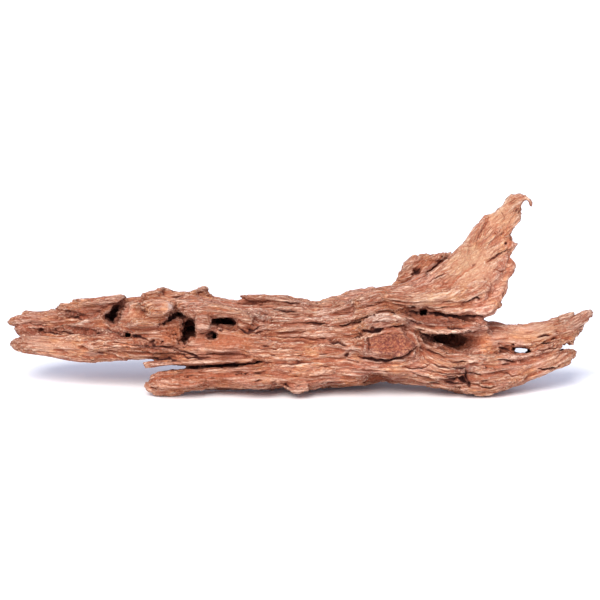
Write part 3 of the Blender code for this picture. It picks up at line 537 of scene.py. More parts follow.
# The carving: what the photo shows one by one. Places and patch sizes are in its pixels.
# cracks: half width mm, depth mm, points
# ridges: half width mm, height mm, points
# ledges: height mm, reach mm, points; the wood below the line stands proud
# dips and holes: x, y, half width, half height, turn in degrees, depth mm
carving = {
    "cracks": [
        # left end
        (2.2, 1.6, [(15, 325), (30, 322.5), (45, 320.5), (60, 318)]),
        (1, 2.2, [(58, 309.5), (66, 311), (75, 311.5), (88, 311.5)]),
        (1, 2.4, [(50, 329), (60, 331.5), (70, 333.5), (80, 334.5)]),
        (0.8, 1.6, [(22, 336), (36, 334), (52, 335)]), (0.9, 1.6, [(95, 352), (101, 353), (108, 352)]),
        (0.8, 1.6, [(84, 358), (92, 360), (99, 359.5)]), (0.9, 2, [(93, 317), (100, 316.5), (107, 317)]),
        (0.9, 1.8, [(91, 328.5), (97, 331.5), (104, 333)]),
        (0.9, 2, [(136, 303), (142, 304), (148, 306)]), (0.8, 1.8, [(100, 300), (107, 300), (113, 299)]),
        # middle of the left half
        (1.1, 3.2, [(124, 333), (131, 336), (139, 337.5), (147, 338), (151, 341)]),
        (1.4, 3.2, [(166, 346), (181, 350), (192, 353), (198, 357), (204, 360)]),
        (1.2, 3, [(149, 341), (158, 345), (168, 347.5), (180, 352)]),
        (1, 2.6, [(178, 352), (190, 357), (200, 358), (212, 357)]),
        (0.9, 2.2, [(120, 343), (134, 346), (150, 348.5), (164, 351)]),
        (0.9, 2.4, [(62, 317), (74, 319), (86, 318)]), (1, 2.4, [(40, 331), (54, 333), (66, 334.5)]),
        (0.9, 2.2, [(104, 327), (112, 329), (120, 330)]), (0.7, 2, [(199, 334), (204, 334), (208, 334)]),
        (0.9, 1.6, [(205, 352), (212, 353.5), (219, 352)]),
        (1.2, 4, [(147, 357.5), (160, 359), (172, 359), (184, 361)]),
        (0.9, 5, [(176, 367.6), (190, 366.9), (206, 366), (226, 365.3), (244, 363.9), (258, 362.6),
            (264, 361.8)]),
        (1.4, 4, [(250, 363), (257, 362), (263, 361.8)]),
        (0.9, 1.8, [(204, 377), (211, 378), (218, 376.5)]),
        (0.9, 1.4, [(165, 388), (186, 386.5), (207, 386), (230, 388)]),
        (0.9, 1.8, [(149, 387), (161, 386)]), (0.9, 1.6, [(236, 303), (248, 303.3), (262, 303)]),
        (1.1, 2.6, [(262, 306), (276, 308.5), (287, 310.5), (302, 310)]),
        (1.1, 2.6, [(280, 301), (290, 303), (301, 304.5)]),
        (0.9, 1.8, [(249, 332), (260, 331.5), (271, 330)]),
        (0.9, 2, [(252, 334), (276, 336), (300, 338), (322, 340)]),
        (0.9, 1.8, [(252, 347.5), (277, 348.5), (300, 347.5)]), (1.1, 2.4, [(269, 354), (276, 354.5)]),
        (0.9, 2, [(262, 362), (297, 363), (317, 361)]), (0.9, 1.8, [(317, 365), (332, 367.5)]),
        (1.2, 2.4, [(271, 385), (284, 384), (296, 389)]), (1.2, 2.4, [(254, 380), (263, 379.5)]),
        (1.2, 2, [(317, 384), (336, 382.5)]),
        # crevices over the knot
        (1, 2.2, [(300, 324), (317, 322.5), (330, 324)]),
        (0.8, 1.6, [(330, 324), (343, 325.3), (355, 322.5), (362, 318.5), (371, 313)]),
        (0.8, 1.6, [(371, 313), (380, 310.5), (389, 310.5), (396, 312)]),
        (1.5, 3.6, [(327, 341), (338, 342), (347, 344.5)]), (1.1, 3, [(352, 338), (362, 335)]),
        (1.4, 3.4, [(362, 330.5), (373, 331.5), (384, 326)]),
        (1.5, 4.2, [(356, 355.5), (368, 358.5), (384, 359.5), (400, 356.5), (411, 350.5), (418, 344)]),
        (1, 2.2, [(366, 335), (367.5, 344), (367, 353)]),
        (1.1, 2.6, [(400, 366), (410, 367.5), (421, 366.5), (431, 362.5)]),
        (1, 2, [(346, 366), (372, 369), (392, 371)]),
        # crevice under the fin, slits of the lamella, cave
        (1.3, 3.4, [(399, 311.5), (409, 313), (420, 313.5), (432, 313.5), (447, 315), (462, 316),
            (478, 316.5), (490, 317.5)]),
        (1, 3.4, [(158, 329.5), (163, 325), (168, 321), (173, 317), (178, 314.5), (182, 312)]),
        (0.8, 1.8, [(369.5, 335), (368, 341), (368.5, 348), (372, 354)]),
        (0.7, 1.6, [(376, 332.5), (386, 331.8), (398, 332.3), (407, 334)]),
        (0.7, 1.8, [(365, 324), (374, 321.5), (386, 321), (398, 322.5)]),
        (0.7, 1.6, [(380, 324.5), (390, 323.5), (401, 319.5)]),
        (0.9, 2.4, [(383, 328), (391, 326.5), (399, 326.5), (405, 325.5)]),
        (1.1, 3.2, [(236, 325.5), (243, 329.5), (251, 331), (257, 328.5), (262, 323.5)]),
        (0.7, 1.6, [(198, 319), (204, 318.5), (211, 319)]),
        (0.6, 1.4, [(199, 324), (205, 323.5), (210.5, 324.5)]),
        (0.8, 2, [(425, 369.5), (434, 371), (443, 370.5)]),
        (0.9, 2.6, [(447, 375), (455, 373), (463, 375)]), (1.2, 3.6, [(406, 319), (414, 322), (421, 325)]),
        (1, 2.6, [(414, 328.5), (424, 330)]), (1.2, 4, [(445, 327), (454, 327.8), (464, 328)]),
        (0.9, 2.4, [(428, 321), (440, 322.5), (452, 322)]),
        (0.8, 2, [(455, 321.5), (468, 320.5), (478, 319)]),
        (0.8, 1.8, [(436, 317), (446, 318.5), (458, 318.5)]),
        (1.2, 3.5, [(419, 334), (428, 336.5), (437, 337)]),
        (1.5, 4.5, [(425, 338), (438, 334.5), (450, 334), (463, 333), (476, 331.5)]),
        (1.1, 2.4, [(497, 347.5), (507, 349), (515, 352)]), (0.7, 1.6, [(503, 348.5), (509, 354.5)]),
        (0.7, 2.2, [(527, 352), (540, 350), (551, 348), (564, 348)]),
        (1.3, 3, [(536, 337.5), (544, 335), (552, 333.5)]), (1.2, 2.6, [(540, 343), (553, 341.5)]),
        (1.1, 3, [(494, 359), (505, 360.5), (517, 362.5)]),
        (1.1, 3, [(536, 369), (548, 368.5), (562, 366.5)]),
        # broken lower right
        (1.1, 3, [(430, 363), (442, 366), (451, 367)]),
        (1.2, 3.4, [(456, 372), (466, 373.5), (476, 372)]),
        (1, 2.8, [(446, 360), (458, 361.5), (468, 361)]),
        (1.3, 3.6, [(443, 381), (453, 382.5), (462, 384)]),
        (1, 2.6, [(410, 372), (422, 376), (436, 379)]), (0.9, 2.4, [(474, 384), (486, 387), (498, 386)]),
        (0.9, 2.2, [(420, 347), (430, 352), (442, 356), (456, 357)]),
        (0.9, 2.4, [(441, 376), (449, 377), (456, 375.5)]),
        (1.2, 3.2, [(462, 368), (466, 372), (465, 377), (469, 381)]),
        (0.9, 2.2, [(440, 387), (452, 388.5), (462, 388)]),
        (0.8, 2, [(500, 372), (512, 374), (524, 373)]),
        (1.1, 3, [(428, 369.5), (440, 372.5), (449, 373.6), (460, 371)]),
        (1.3, 3.6, [(448, 364.5), (457, 367.5), (466, 366)]),
        (2, 5, [(456, 377), (462, 380), (466, 383), (468.5, 388.5)]),
        (1, 2.6, [(425, 382), (441, 384)]), (1, 2.6, [(470, 372), (481, 374.5)]),
        (1, 2.6, [(478, 379), (486, 380)]), (1.2, 3, [(436, 378), (450, 379.5), (458, 377.5)]),
        # fin
        (0.6, 1.9, [(490, 215.5), (484, 226), (478.5, 236), (475, 243)]),
        (0.7, 1.8, [(498.5, 209), (502.5, 214), (503.5, 219), (501, 225)]),
        (1, 2.6, [(483, 263.5), (492, 258.5), (503, 252.5), (511, 249)]),
        (1.1, 3.4, [(460, 304.5), (468, 301), (475, 298.5), (481, 300)]),
        (0.9, 2, [(491, 269), (499, 272), (506, 270.5)]),
        (1.2, 1, [(452, 296), (463, 289.5), (478, 288), (490, 288.5)]),
        (1, 2.4, [(406, 282), (423, 276), (436, 267), (448.5, 256.5), (456, 250.5)]),
        (1.1, 2.4, [(424, 283), (436, 277), (446, 272)]), (1, 2, [(440, 303), (452, 300)]),
    ],
    "ridges": [
        (1.3, 1.8, [(69, 327.5), (78, 324.5), (90, 320.5)]),
        (1.4, 1.3, [(12, 322.5), (28, 318.5), (44, 316), (58, 314.5)]),
        (1.5, 1.2, [(56, 307.5), (75, 306.5), (96, 301.5), (120, 297)]),
        (1.6, 1.4, [(240, 298.5), (262, 299), (282, 298.5)]),
        (1.6, 1.3, [(262, 303.5), (282, 306), (303, 307)]),
        (1.8, 1.6, [(286, 320), (310, 319.5), (336, 320.5), (352, 318.5), (364, 312)]),
        (1.6, 1.4, [(300, 334.5), (322, 335.5), (345, 336)]),
        (1.7, 1.6, [(280, 378.5), (300, 377), (318, 372), (338, 369.5)]),
        (2.4, 2.6, [(362, 325), (372, 319.5), (386, 317.5), (404, 319)]),
        (1.2, 1.6, [(339, 333.5), (351, 333), (362, 332)]),
        (1.6, 1.8, [(341, 349), (352, 347.5), (362, 351), (368, 355.5)]),
        (1.3, 1.6, [(372, 356), (386, 356.5), (400, 353.5), (409, 348)]),
        (1.3, 1.5, [(405, 330), (412, 334), (416, 340)]),
        (1.5, 1.6, [(398, 352), (415, 356), (432, 358.5)]),
        (1.2, 1.4, [(434, 333), (451, 331), (474, 330)]),
        (1.3, 1.3, [(470, 345.5), (489, 344), (509, 341), (528, 342), (546, 339)]),
        (1.8, 1.6, [(404, 306), (424, 305), (446, 309), (470, 311), (492, 309)]),
        (1.5, 1.4, [(484, 268), (497, 263), (508, 256)]),
        (1.4, 1.3, [(446, 300), (458, 292), (470, 284), (486, 281)]),
        (1.2, 1.2, [(409, 278), (425, 272), (441, 262)]),
        (1.4, 1.6, [(445, 361), (462, 360.5), (482, 362)]),
        (1.2, 1.3, [(497, 354), (516, 357), (540, 355)]),
        (1.2, 1.5, [(150, 363.5), (166, 364), (182, 363.5)]),
    ],
    "ledges": [
        (1.8, 9, [(46, 312), (56, 309.5), (68, 309)]), (1.6, 7, [(20, 327.5), (34, 327), (52, 328)]),
        (1.8, 8, [(78, 338), (92, 340), (108, 341)]),
        (1.6, 8, [(252, 340), (276, 342), (302, 342.5), (326, 344)]),
        (1.5, 8, [(270, 356), (296, 357), (322, 356)]), (1.8, 8, [(300, 327), (318, 326), (344, 328)]),
        (1.5, 8, [(430, 345), (446, 352), (466, 354), (486, 353.5)]),
        (1.6, 7, [(420, 372), (436, 376), (452, 376)]), (1.6, 7, [(470, 380), (486, 384), (502, 385)]),
        (1.6, 8, [(524, 344), (544, 341.5), (566, 337)]), (1.4, 8, [(204, 303.5), (222, 306), (240, 309)]),
        (1.6, 8, [(160, 379), (182, 376), (206, 377)]), (1.5, 8, [(230, 374), (252, 373), (276, 374)]),
        (1.5, 7, [(448, 285), (462, 276), (476, 266)]), (1.4, 7, [(430, 296), (446, 291), (460, 283)]),
    ],
    "dips": [
        (226, 327.5, 16, 5, -3, 4.5), (248, 328, 12, 4, 22, 3), (215, 334, 6, 5, 0, 1),
        (392, 344, 20, 9, 2, 2.2), (34, 332, 22, 3.5, 2, 2.5), (76, 315.5, 14, 4.5, 0, 2.5),
        (83, 330, 18, 4.5, -8, 2.5), (150, 345, 22, 5, 12, 1.5), (116, 334, 8, 5, 0, 1.5),
        (441, 320, 30, 5, 3, 1.5), (378, 378, 18, 5, -8, 1.2), (334, 389, 9, 5, 0, 3.2),
        (466, 378, 9, 8, 20, 2.5), (446, 371, 16, 4, 5, 2), (305, 342, 30, 4, 2, 1.5),
        (288, 384, 12, 3, 0, 1.5), (419, 269, 8, 5, 30, 2),
    ],
    "holes": [
        (131.8, 335.6, 3, 1.7, -12, 3), (367.4, 338, 1, 1.5, 0, 2.2),
        (366.8, 343.5, 0.9, 1.3, 0, 2), (368.2, 349, 1.1, 1.2, 0, 2.2), (381, 333, 2, 1, 0, 2.2),
        (388.5, 332.4, 1.6, 0.9, 0, 2), (396.5, 332.6, 2.2, 1, 0, 2.4), (404, 334, 1.4, 1, -30, 2),
        (128.7, 334.3, 4.4, 2.6, 25, 4), (152.5, 341, 3.2, 1.5, 15, 3), (163, 342.5, 2, 1.1, 15, 3),
        (98, 331.5, 1.6, 1.2, 0, 2.5), (180.5, 313.5, 3, 2.2, 25, 6), (165.5, 324, 2, 1.3, 35, 3.5),
        (172.5, 318, 1.8, 1.1, 35, 3.5), (161.5, 331.5, 1.1, 0.9, 0, 2.5), (186, 340, 2.2, 4.2, -20, 3.5),
        (186.5, 345, 1.6, 1.2, 0, 3), (371, 328.6, 2.4, 1, -10, 3), (378.5, 329.5, 2, 0.9, 10, 2.6),
        (362.5, 331.5, 2.2, 1, 0, 3), (212.5, 334.3, 3.4, 2.9, 10, 2.4),
        (252, 329.5, 3, 1.3, -15, 3), (204, 302.5, 1.5, 1.4, 0, 2.5), (346, 354, 2.8, 2.2, 0, 3.5),
        (396, 285.5, 2, 1.6, 0, 2), (412.5, 307, 2.6, 2.2, 0, 2.4), (424, 312, 1.5, 1.3, 0, 2.6),
        (418, 270, 5, 4, 30, 4), (414, 273.5, 2.2, 1.6, 0, 3), (505.5, 243, 2, 1.9, 0, 4),
        (495, 234.2, 1.3, 1, -30, 2), (512.5, 344.6, 1.6, 1.2, 0, 4), (485, 366, 1.8, 1.2, 0, 2.5),
        (494, 368, 2, 1.3, 0, 2.5), (83, 347.5, 6.5, 2.3, -5, 1.6), (40, 330, 3, 1.6, 0, 1.8),
        (136, 351, 0.9, 0.8, 0, 1.8), (145, 346, 0.9, 0.8, 0, 1.8), (438, 340.5, 9, 3.6, -8, 3),
    ],
}

carvingShape = {
    "crackTaper": 0.6,        # power; less keeps a crack wide up to its ends
    "crackWall": 0.8,         # power; less makes its walls steeper
    "crackShadeSpread": 1.35,       # how many times wider than the crack its painted shade is
    "crackDark": 2.6,         # mm deep at which a crack's painted shade is full
    "holeWall": 0.5,
    # holeDark: mm deep at which a hole's painted shade is full
    "holeDark": 3.8,
    "dipWall": 1.3,
    "ridgeTaper": 0.5,
    "ledgeTaper": 0.6,
    "ledgeNotch": 1.5,        # mm that the notch over a ledge reaches
    "seenCells": 1.2,         # cells to a pixel, to tell what stands in front
    "seenSlack": 3.0,         # mm behind the front that still counts as seen
}

# Patches of finish: x, y, half width, half height in pixels, turn in degrees, strength
patches = {
    "rot": [                  # soft, red and crumbling
        (173, 333, 12, 14, 0, 1), (163, 322, 5, 6, 30, 0.6), (118, 333, 7, 6, 0, 0.9),
        (136, 344, 15, 6, 10, 0.7), (152, 350, 22, 5, 8, 0.6), (76, 315, 14, 5, 0, 0.8),
        (38, 331.5, 26, 4.5, 0, 0.85), (84, 330, 20, 6, -8, 0.8), (100, 322, 10, 6, -20, 0.5),
        (419, 268, 6, 4.5, 30, 0.8), (442, 321, 34, 6, -4, 0.75), (226, 341, 40, 10, -3, 0.65),
        (205, 379, 64, 12, 4, 0.45), (455, 344, 17, 8, 0, 0.9), (300, 376, 40, 10, 2, 0.15),
        (476, 340, 18, 9, 0, 0.5), (455, 378, 14, 8, 0, 0.6), (376, 377, 12, 5, 0, 0.5),
        (392, 343, 24, 13, 0, 0.5), (512, 350, 10, 5, 0, 0.5), (509, 243, 4, 6, 0, 0.6),
        (252, 326, 7, 5, 20, 0.5), (83, 347.5, 7, 3, -5, 0.7), (350, 381, 12, 6, 0, 0.5),
    ],
    "calm": [                 # worn smooth
        (132, 313, 11, 9, 0, 0.8), (222, 341, 34, 9, 3, 0.75), (170, 305, 10, 9, 0, 0.85),
        (166, 298, 8, 6, 0, 0.7), (204, 322, 8, 9, 0, 0.45), (392, 343, 24, 13, 0, 0.9),
        (480, 340, 18, 8, 0, 0.7), (470, 268, 30, 24, 35, 0.85), (500, 216, 16, 18, 30, 0.8),
        (530, 333, 44, 12, 3, 0.75), (540, 366, 38, 11, 12, 0.6), (440, 298, 40, 9, 10, 0.5),
        (36, 321, 20, 3, 5, 0.6), (60, 346, 46, 9, -6, 0.65), (388, 375, 16, 5, 0, 0.35),
        (240, 356, 30, 5, 3, 0.3),
    ],
    "pale": [                 # bleached
        (120, 297, 6, 3, -15, 0.9), (79.5, 324, 12, 2.4, 22, 1), (252, 324, 10, 3, -30, 0.5),
        (351, 349.5, 13, 4.5, 8, 1), (384, 319, 22, 5, -5, 1), (345, 322, 18, 3, 3, 0.4),
        (118, 333, 6, 5, 0, 0.55), (480, 358, 22, 8, 0, 0.5), (455, 331.5, 22, 1.6, -4, 0.7),
        (515, 328, 40, 9, 0, 0.25), (575, 326, 18, 14, 0, 0.3), (410, 268, 13, 12, 30, 0.4),
        (420, 296, 30, 10, -15, 0.35), (436, 343.5, 5, 1.4, 0, 0.6), (50, 347, 40, 7, -6, 0.4),
        (108, 322, 6, 4, 0, 0.5), (250, 317, 8, 3, 25, 0.4), (285, 314, 70, 16, 0, 0.55),
        (340, 300, 40, 14, -8, 0.25), (525, 200, 10, 5, 0, 0.3), (176, 291, 10, 4, 0, 0.3),
    ],
    "resin": [(171.6, 306.3, 2.6, 3.1, 10, 1), (186, 300, 3, 2.6, 0, 0.45), (95, 353, 9, 3.5, 0, 0.35)],
    "knot": [(391.5, 343.5, 24.5, 13, -2, 1)],
    "crumble": [              # broken into crumbs
        (117.5, 333, 9, 7, 0, 1), (75, 315, 16, 5, 0, 1), (40, 331, 26, 4, 2, 0.9),
        (90, 331, 34, 5, -4, 0.9), (172, 332, 10, 12, 20, 0.3), (466, 352, 14, 6, 0, 0.4),
        (462, 368, 18, 7, 0, 0.7), (384, 319, 20, 3.5, 0, 0.25), (150, 346, 22, 5, -12, 0.8),
        (419, 268, 6, 4, 30, 0.6), (392, 344, 24, 12, 0, 0.25), (250, 313, 10, 6, -25, 0.4),
        (436, 321, 32, 6, -4, 0.6), (455, 380, 16, 6, 0, 0.5), (183, 297, 12, 4, 0, 0.4),
        (202, 292, 8, 3, 0, 0.5),
    ],
    "sand": [                 # duller and yellower
        (472, 262, 34, 46, -35, 0.9), (440, 298, 50, 12, 12, 0.6), (560, 326, 36, 14, 10, 0.5),
        (504, 212, 20, 24, 0, 0.9),
    ],
    # painted shade under edges and in the arch, crevices, slots, holes and cave, and darker rotten wood
    "darkBrownAndShade": [                 # darker
        (226, 341, 40, 10, -3, 0.42), (205, 379, 64, 12, 4, 0.34), (204, 318, 9, 12, 0, 0.3),
        (535, 330, 50, 16, 0, 0.12), (371, 376, 15, 7, -10, 1), (386, 378, 30, 7, -4, 1),
        (444, 315.5, 48, 2.6, -3, 0.9), (212.5, 334.5, 6.5, 5.5, 0, 1), (392, 343, 26, 14, 0, 0.8),
        (84, 330, 20, 6, -8, 0.6), (76, 315, 14, 5, 0, 0.7), (38, 331.5, 26, 4, 0, 0.5),
        (117, 308, 7, 5, 35, 1), (150, 346, 22, 5, 12, 0.4), (128, 334, 6, 4.5, 0, 0.8),
        (268, 385, 20, 3.5, -8, 0.7), (189.5, 331, 6, 13, -18, 0.9), (440, 341, 16, 6, 0, 0.9),
        (468, 343, 16, 8, 0, 0.35), (456, 377, 20, 11, 10, 0.6), (167, 321, 8, 3.5, 40, 0.9),
        (185, 331, 4.5, 12, -15, 0.8), (156, 350, 30, 5, 8, 0.45), (112, 316, 7, 8, 40, 0.9),
        (222, 319.5, 13, 3.5, -4, 0.9), (174, 318, 9, 5, 40, 0.8), (430, 318, 30, 5, 5, 0.35),
        (120, 360, 30, 3, 0, 0.4), (240, 390, 70, 3.5, 0, 0.5), (415, 384, 40, 4, 6, 0.5),
        (437, 263, 18, 3, 35, 0.8), (438, 320, 36, 7, 4, 0.85), (365, 345, 4, 10, 0, 0.5),
        (392, 357, 22, 3, 0, 0.6), (330, 384, 20, 3, 0, 0.4), (88, 315, 10, 4, 0, 0.35),
        (346, 354, 5, 4, 0, 0.7), (412, 307, 4, 3, 0, 0.6), (368, 331, 12, 2.5, 0, 0.6),
    ],
}


def distanceTo(line, px, py):
    # how far each point is from the line, 1 by the line's middle to 0 by its ends, and the side,
    # which is over 0 below the line
    nearest = np.full(len(px), np.inf)
    progress, side = np.zeros(len(px)), np.zeros(len(px))
    spans = len(line) - 1
    for i in range(spans):
        (ax, ay), (bx, by) = line[i], line[i + 1]
        dx, dy = bx - ax, by - ay
        share = np.clip(((px - ax) * dx + (py - ay) * dy) / (dx * dx + dy * dy), 0, 1)
        offX, offY = px - ax - share * dx, py - ay - share * dy
        gap = np.hypot(offX, offY)
        closer = gap < nearest
        nearest = np.where(closer, gap, nearest)
        progress = np.where(closer, (i + share) / spans, progress)
        side = np.where(closer, dx * offY - dy * offX, side)
    middle = np.clip(4 * progress * (1 - progress), 0, 1)
    return nearest, middle, np.sign(side) * (1 if line[-1][0] >= line[0][0] else -1)


def patchReach(patch, px, py):
    # 0 at a patch's middle, 1 at its rim, as the square of the way out
    x, y, halfWide, halfHigh, turn, _ = patch
    turn = math.radians(turn)
    a = ((px - x) * math.cos(turn) - (py - y) * math.sin(turn)) / halfWide
    b = ((px - x) * math.sin(turn) + (py - y) * math.cos(turn)) / halfHigh
    return a * a + b * b


def whatIsSeen(px, py, deep, normals):
    # the points of the wood that the photo shows: turned to it, and with nothing in front
    tip, fineness = photoView["tip"], carvingShape["seenCells"]
    cells = round(photoView["frame"] * fineness)
    facing = normals @ np.array([0, -math.cos(tip), math.sin(tip)])
    column = np.clip((px * fineness).astype(int), 0, cells - 1)
    row = np.clip((py * fineness).astype(int), 0, cells - 1)
    nearest = np.full((cells, cells), np.inf)
    np.minimum.at(nearest, (column, row), deep)
    return (facing > 0.05) & (deep < nearest[column, row] + carvingShape["seenSlack"])


def carve(piece):
    x, up, deep = toPicture(placesOf(piece))
    px, py = toPixels(x, up)
    seen = whatIsSeen(px, py, deep, normalsOf(piece))
    shape, pixel = carvingShape, photoView["pixel"]
    # lines and rims waver a little
    wavyX = px + 0.5 * np.sin(0.37 * py + 0.11 * px) + 0.3 * np.sin(0.9 * py - 0.23 * px)
    wavyY = py + 0.5 * np.sin(0.19 * px + 0.9) + 0.35 * np.sin(0.47 * px + 0.31 * py)
    wavyY = wavyY + 0.2 * np.sin(0.93 * px - 0.4 * py)
    depth, rise, crackShade = np.zeros(len(px)), np.zeros(len(px)), np.zeros(len(px))

    def near(line, margin):
        xs, ys = [p[0] for p in line], [p[1] for p in line]
        some = np.flatnonzero(seen & (px > min(xs) - margin) & (px < max(xs) + margin)
                              & (py > min(ys) - margin) & (py < max(ys) + margin))
        return some, wavyX[some], wavyY[some]

    def raiseTo(numbers, some, values):
        numbers[some] = np.maximum(numbers[some], values)

    for halfWidth, deepness, line in carving["cracks"]:
        some, nearX, nearY = near(line, 5)
        gap, middle, _ = distanceTo(line, nearX, nearY)
        fade = middle ** shape["crackTaper"]
        reach = gap * pixel / (0.85 * halfWidth * (0.35 + 0.65 * fade))
        raiseTo(depth, some, deepness * (fade * np.clip(1 - reach, 0, 1) ** shape["crackWall"]))
        # painted shade in and beside each crack, fuller the deeper the crack
        stain = fade * np.clip(1 - reach / shape["crackShadeSpread"], 0, 1) ** 0.7
        raiseTo(crackShade, some, np.clip(stain * deepness / shape["crackDark"], 0, 1))
    for patch in carving["holes"]:
        some, nearX, nearY = near([patch[:2]], 3 * max(patch[2:4]) + 3)
        hollow = np.clip(1.05 - patchReach(patch, nearX, nearY), 0, 1) ** shape["holeWall"]
        raiseTo(depth, some, patch[5] * hollow)
        # painted shade inside each hole, fuller the deeper the hole
        raiseTo(crackShade, some, np.clip(hollow * patch[5] / shape["holeDark"], 0, 1))
    for patch in carving["dips"]:
        some, nearX, nearY = near([patch[:2]], max(patch[2:4]) + 3)
        inside = np.clip(1 - patchReach(patch, nearX, nearY), 0, 1)
        depth[some] += patch[5] * inside ** shape["dipWall"]
    for halfWidth, height, line in carving["ridges"]:
        some, nearX, nearY = near(line, 7)
        gap, middle, _ = distanceTo(line, nearX, nearY)
        crest = np.exp(-(gap * pixel / halfWidth) ** 2)
        raiseTo(rise, some, height * crest * middle ** shape["ridgeTaper"])
    for height, reach, line in carving["ledges"]:
        some, nearX, nearY = near(line, reach / pixel * 2)
        gap, middle, side = distanceTo(line, nearX, nearY)
        far = gap * pixel
        ledge = np.where(side > 0, np.exp(-far / reach), -0.5 * np.exp(-far / shape["ledgeNotch"]))
        rise[some] += height * (ledge * middle ** shape["ledgeTaper"])
    keepNumbers(piece, "carve", (depth - rise) * mm)
    keepNumbers(piece, "crackShade", crackShade)
    for name, group in patches.items():
        mask = np.zeros(len(px))
        sharp = 0.25 if name in ("resin", "knot") else 0.8    # these two have a clear rim
        for patch in group:
            some, nearX, nearY = near([patch[:2]], 2 * max(patch[2:4]) + 3)
            inside = np.clip(1 - patchReach(patch, nearX, nearY), 0, 1)
            raiseTo(mask, some, patch[5] * inside ** sharp)
        keepNumbers(piece, name, mask)
    print("driftwood scene: carving placed on", int(seen.sum()), "points")


def woodUnder(piece, reach=16 * mm):
    # how much wood lies straight under each point, as a share of reach
    places, normals = placesOf(piece), normalsOf(piece)
    tree = BVHTree.FromObject(piece, bpy.context.evaluated_depsgraph_get())
    share = np.ones(len(places))
    starts = places - normals * 0.3 * mm
    for i, (start, normal) in enumerate(zip(starts.tolist(), normals.tolist())):
        hit = tree.ray_cast(start, (-normal[0], -normal[1], -normal[2]), reach)[3]
        if hit is not None:
            share[i] = hit / reach
    keepNumbers(piece, "body", np.clip(share, 0.08, 1))
    print("driftwood scene: wood thickness read")


# Weathering: flutes, furrows, plies, checks and fibres along the grain
weathering = {
    "Flute length": 80 * mm, "Flute width": 9 * mm, "Flute depth": 1.4 * mm,
    "Furrow length": 34 * mm, "Furrow width": 3.1 * mm, "Furrow depth": 1.2 * mm,
    "Ply width": 5.5 * mm, "Ply depth": 1.0 * mm,
    "Check length": 22 * mm, "Check width": 3.0 * mm, "Check depth": 2.0 * mm,
    "Fibre length": 9 * mm, "Fibre width": 1.2 * mm, "Fibre depth": 0.75 * mm,
    "Grit size": 1.7 * mm, "Grit depth": 0.5 * mm,
    "Crumb size": 2.2 * mm, "Crumb depth": 1.6 * mm,
    "Least island": 1000.0,   # points; a loose crumb of fewer goes
    "Seed": 4.0,
}


def named(tree, name, kind="FLOAT"):
    read = {"data_type": kind}
    return Wire(tree).node("GeometryNodeInputNamedAttribute", read, {"Name": name}, "Attribute")


def stored(geometry, name, value, kind="FLOAT"):
    return geometry.node("GeometryNodeStoreNamedAttribute", {"data_type": kind, "domain": "POINT"},
                         {"Geometry": geometry, "Name": name, "Value": value})


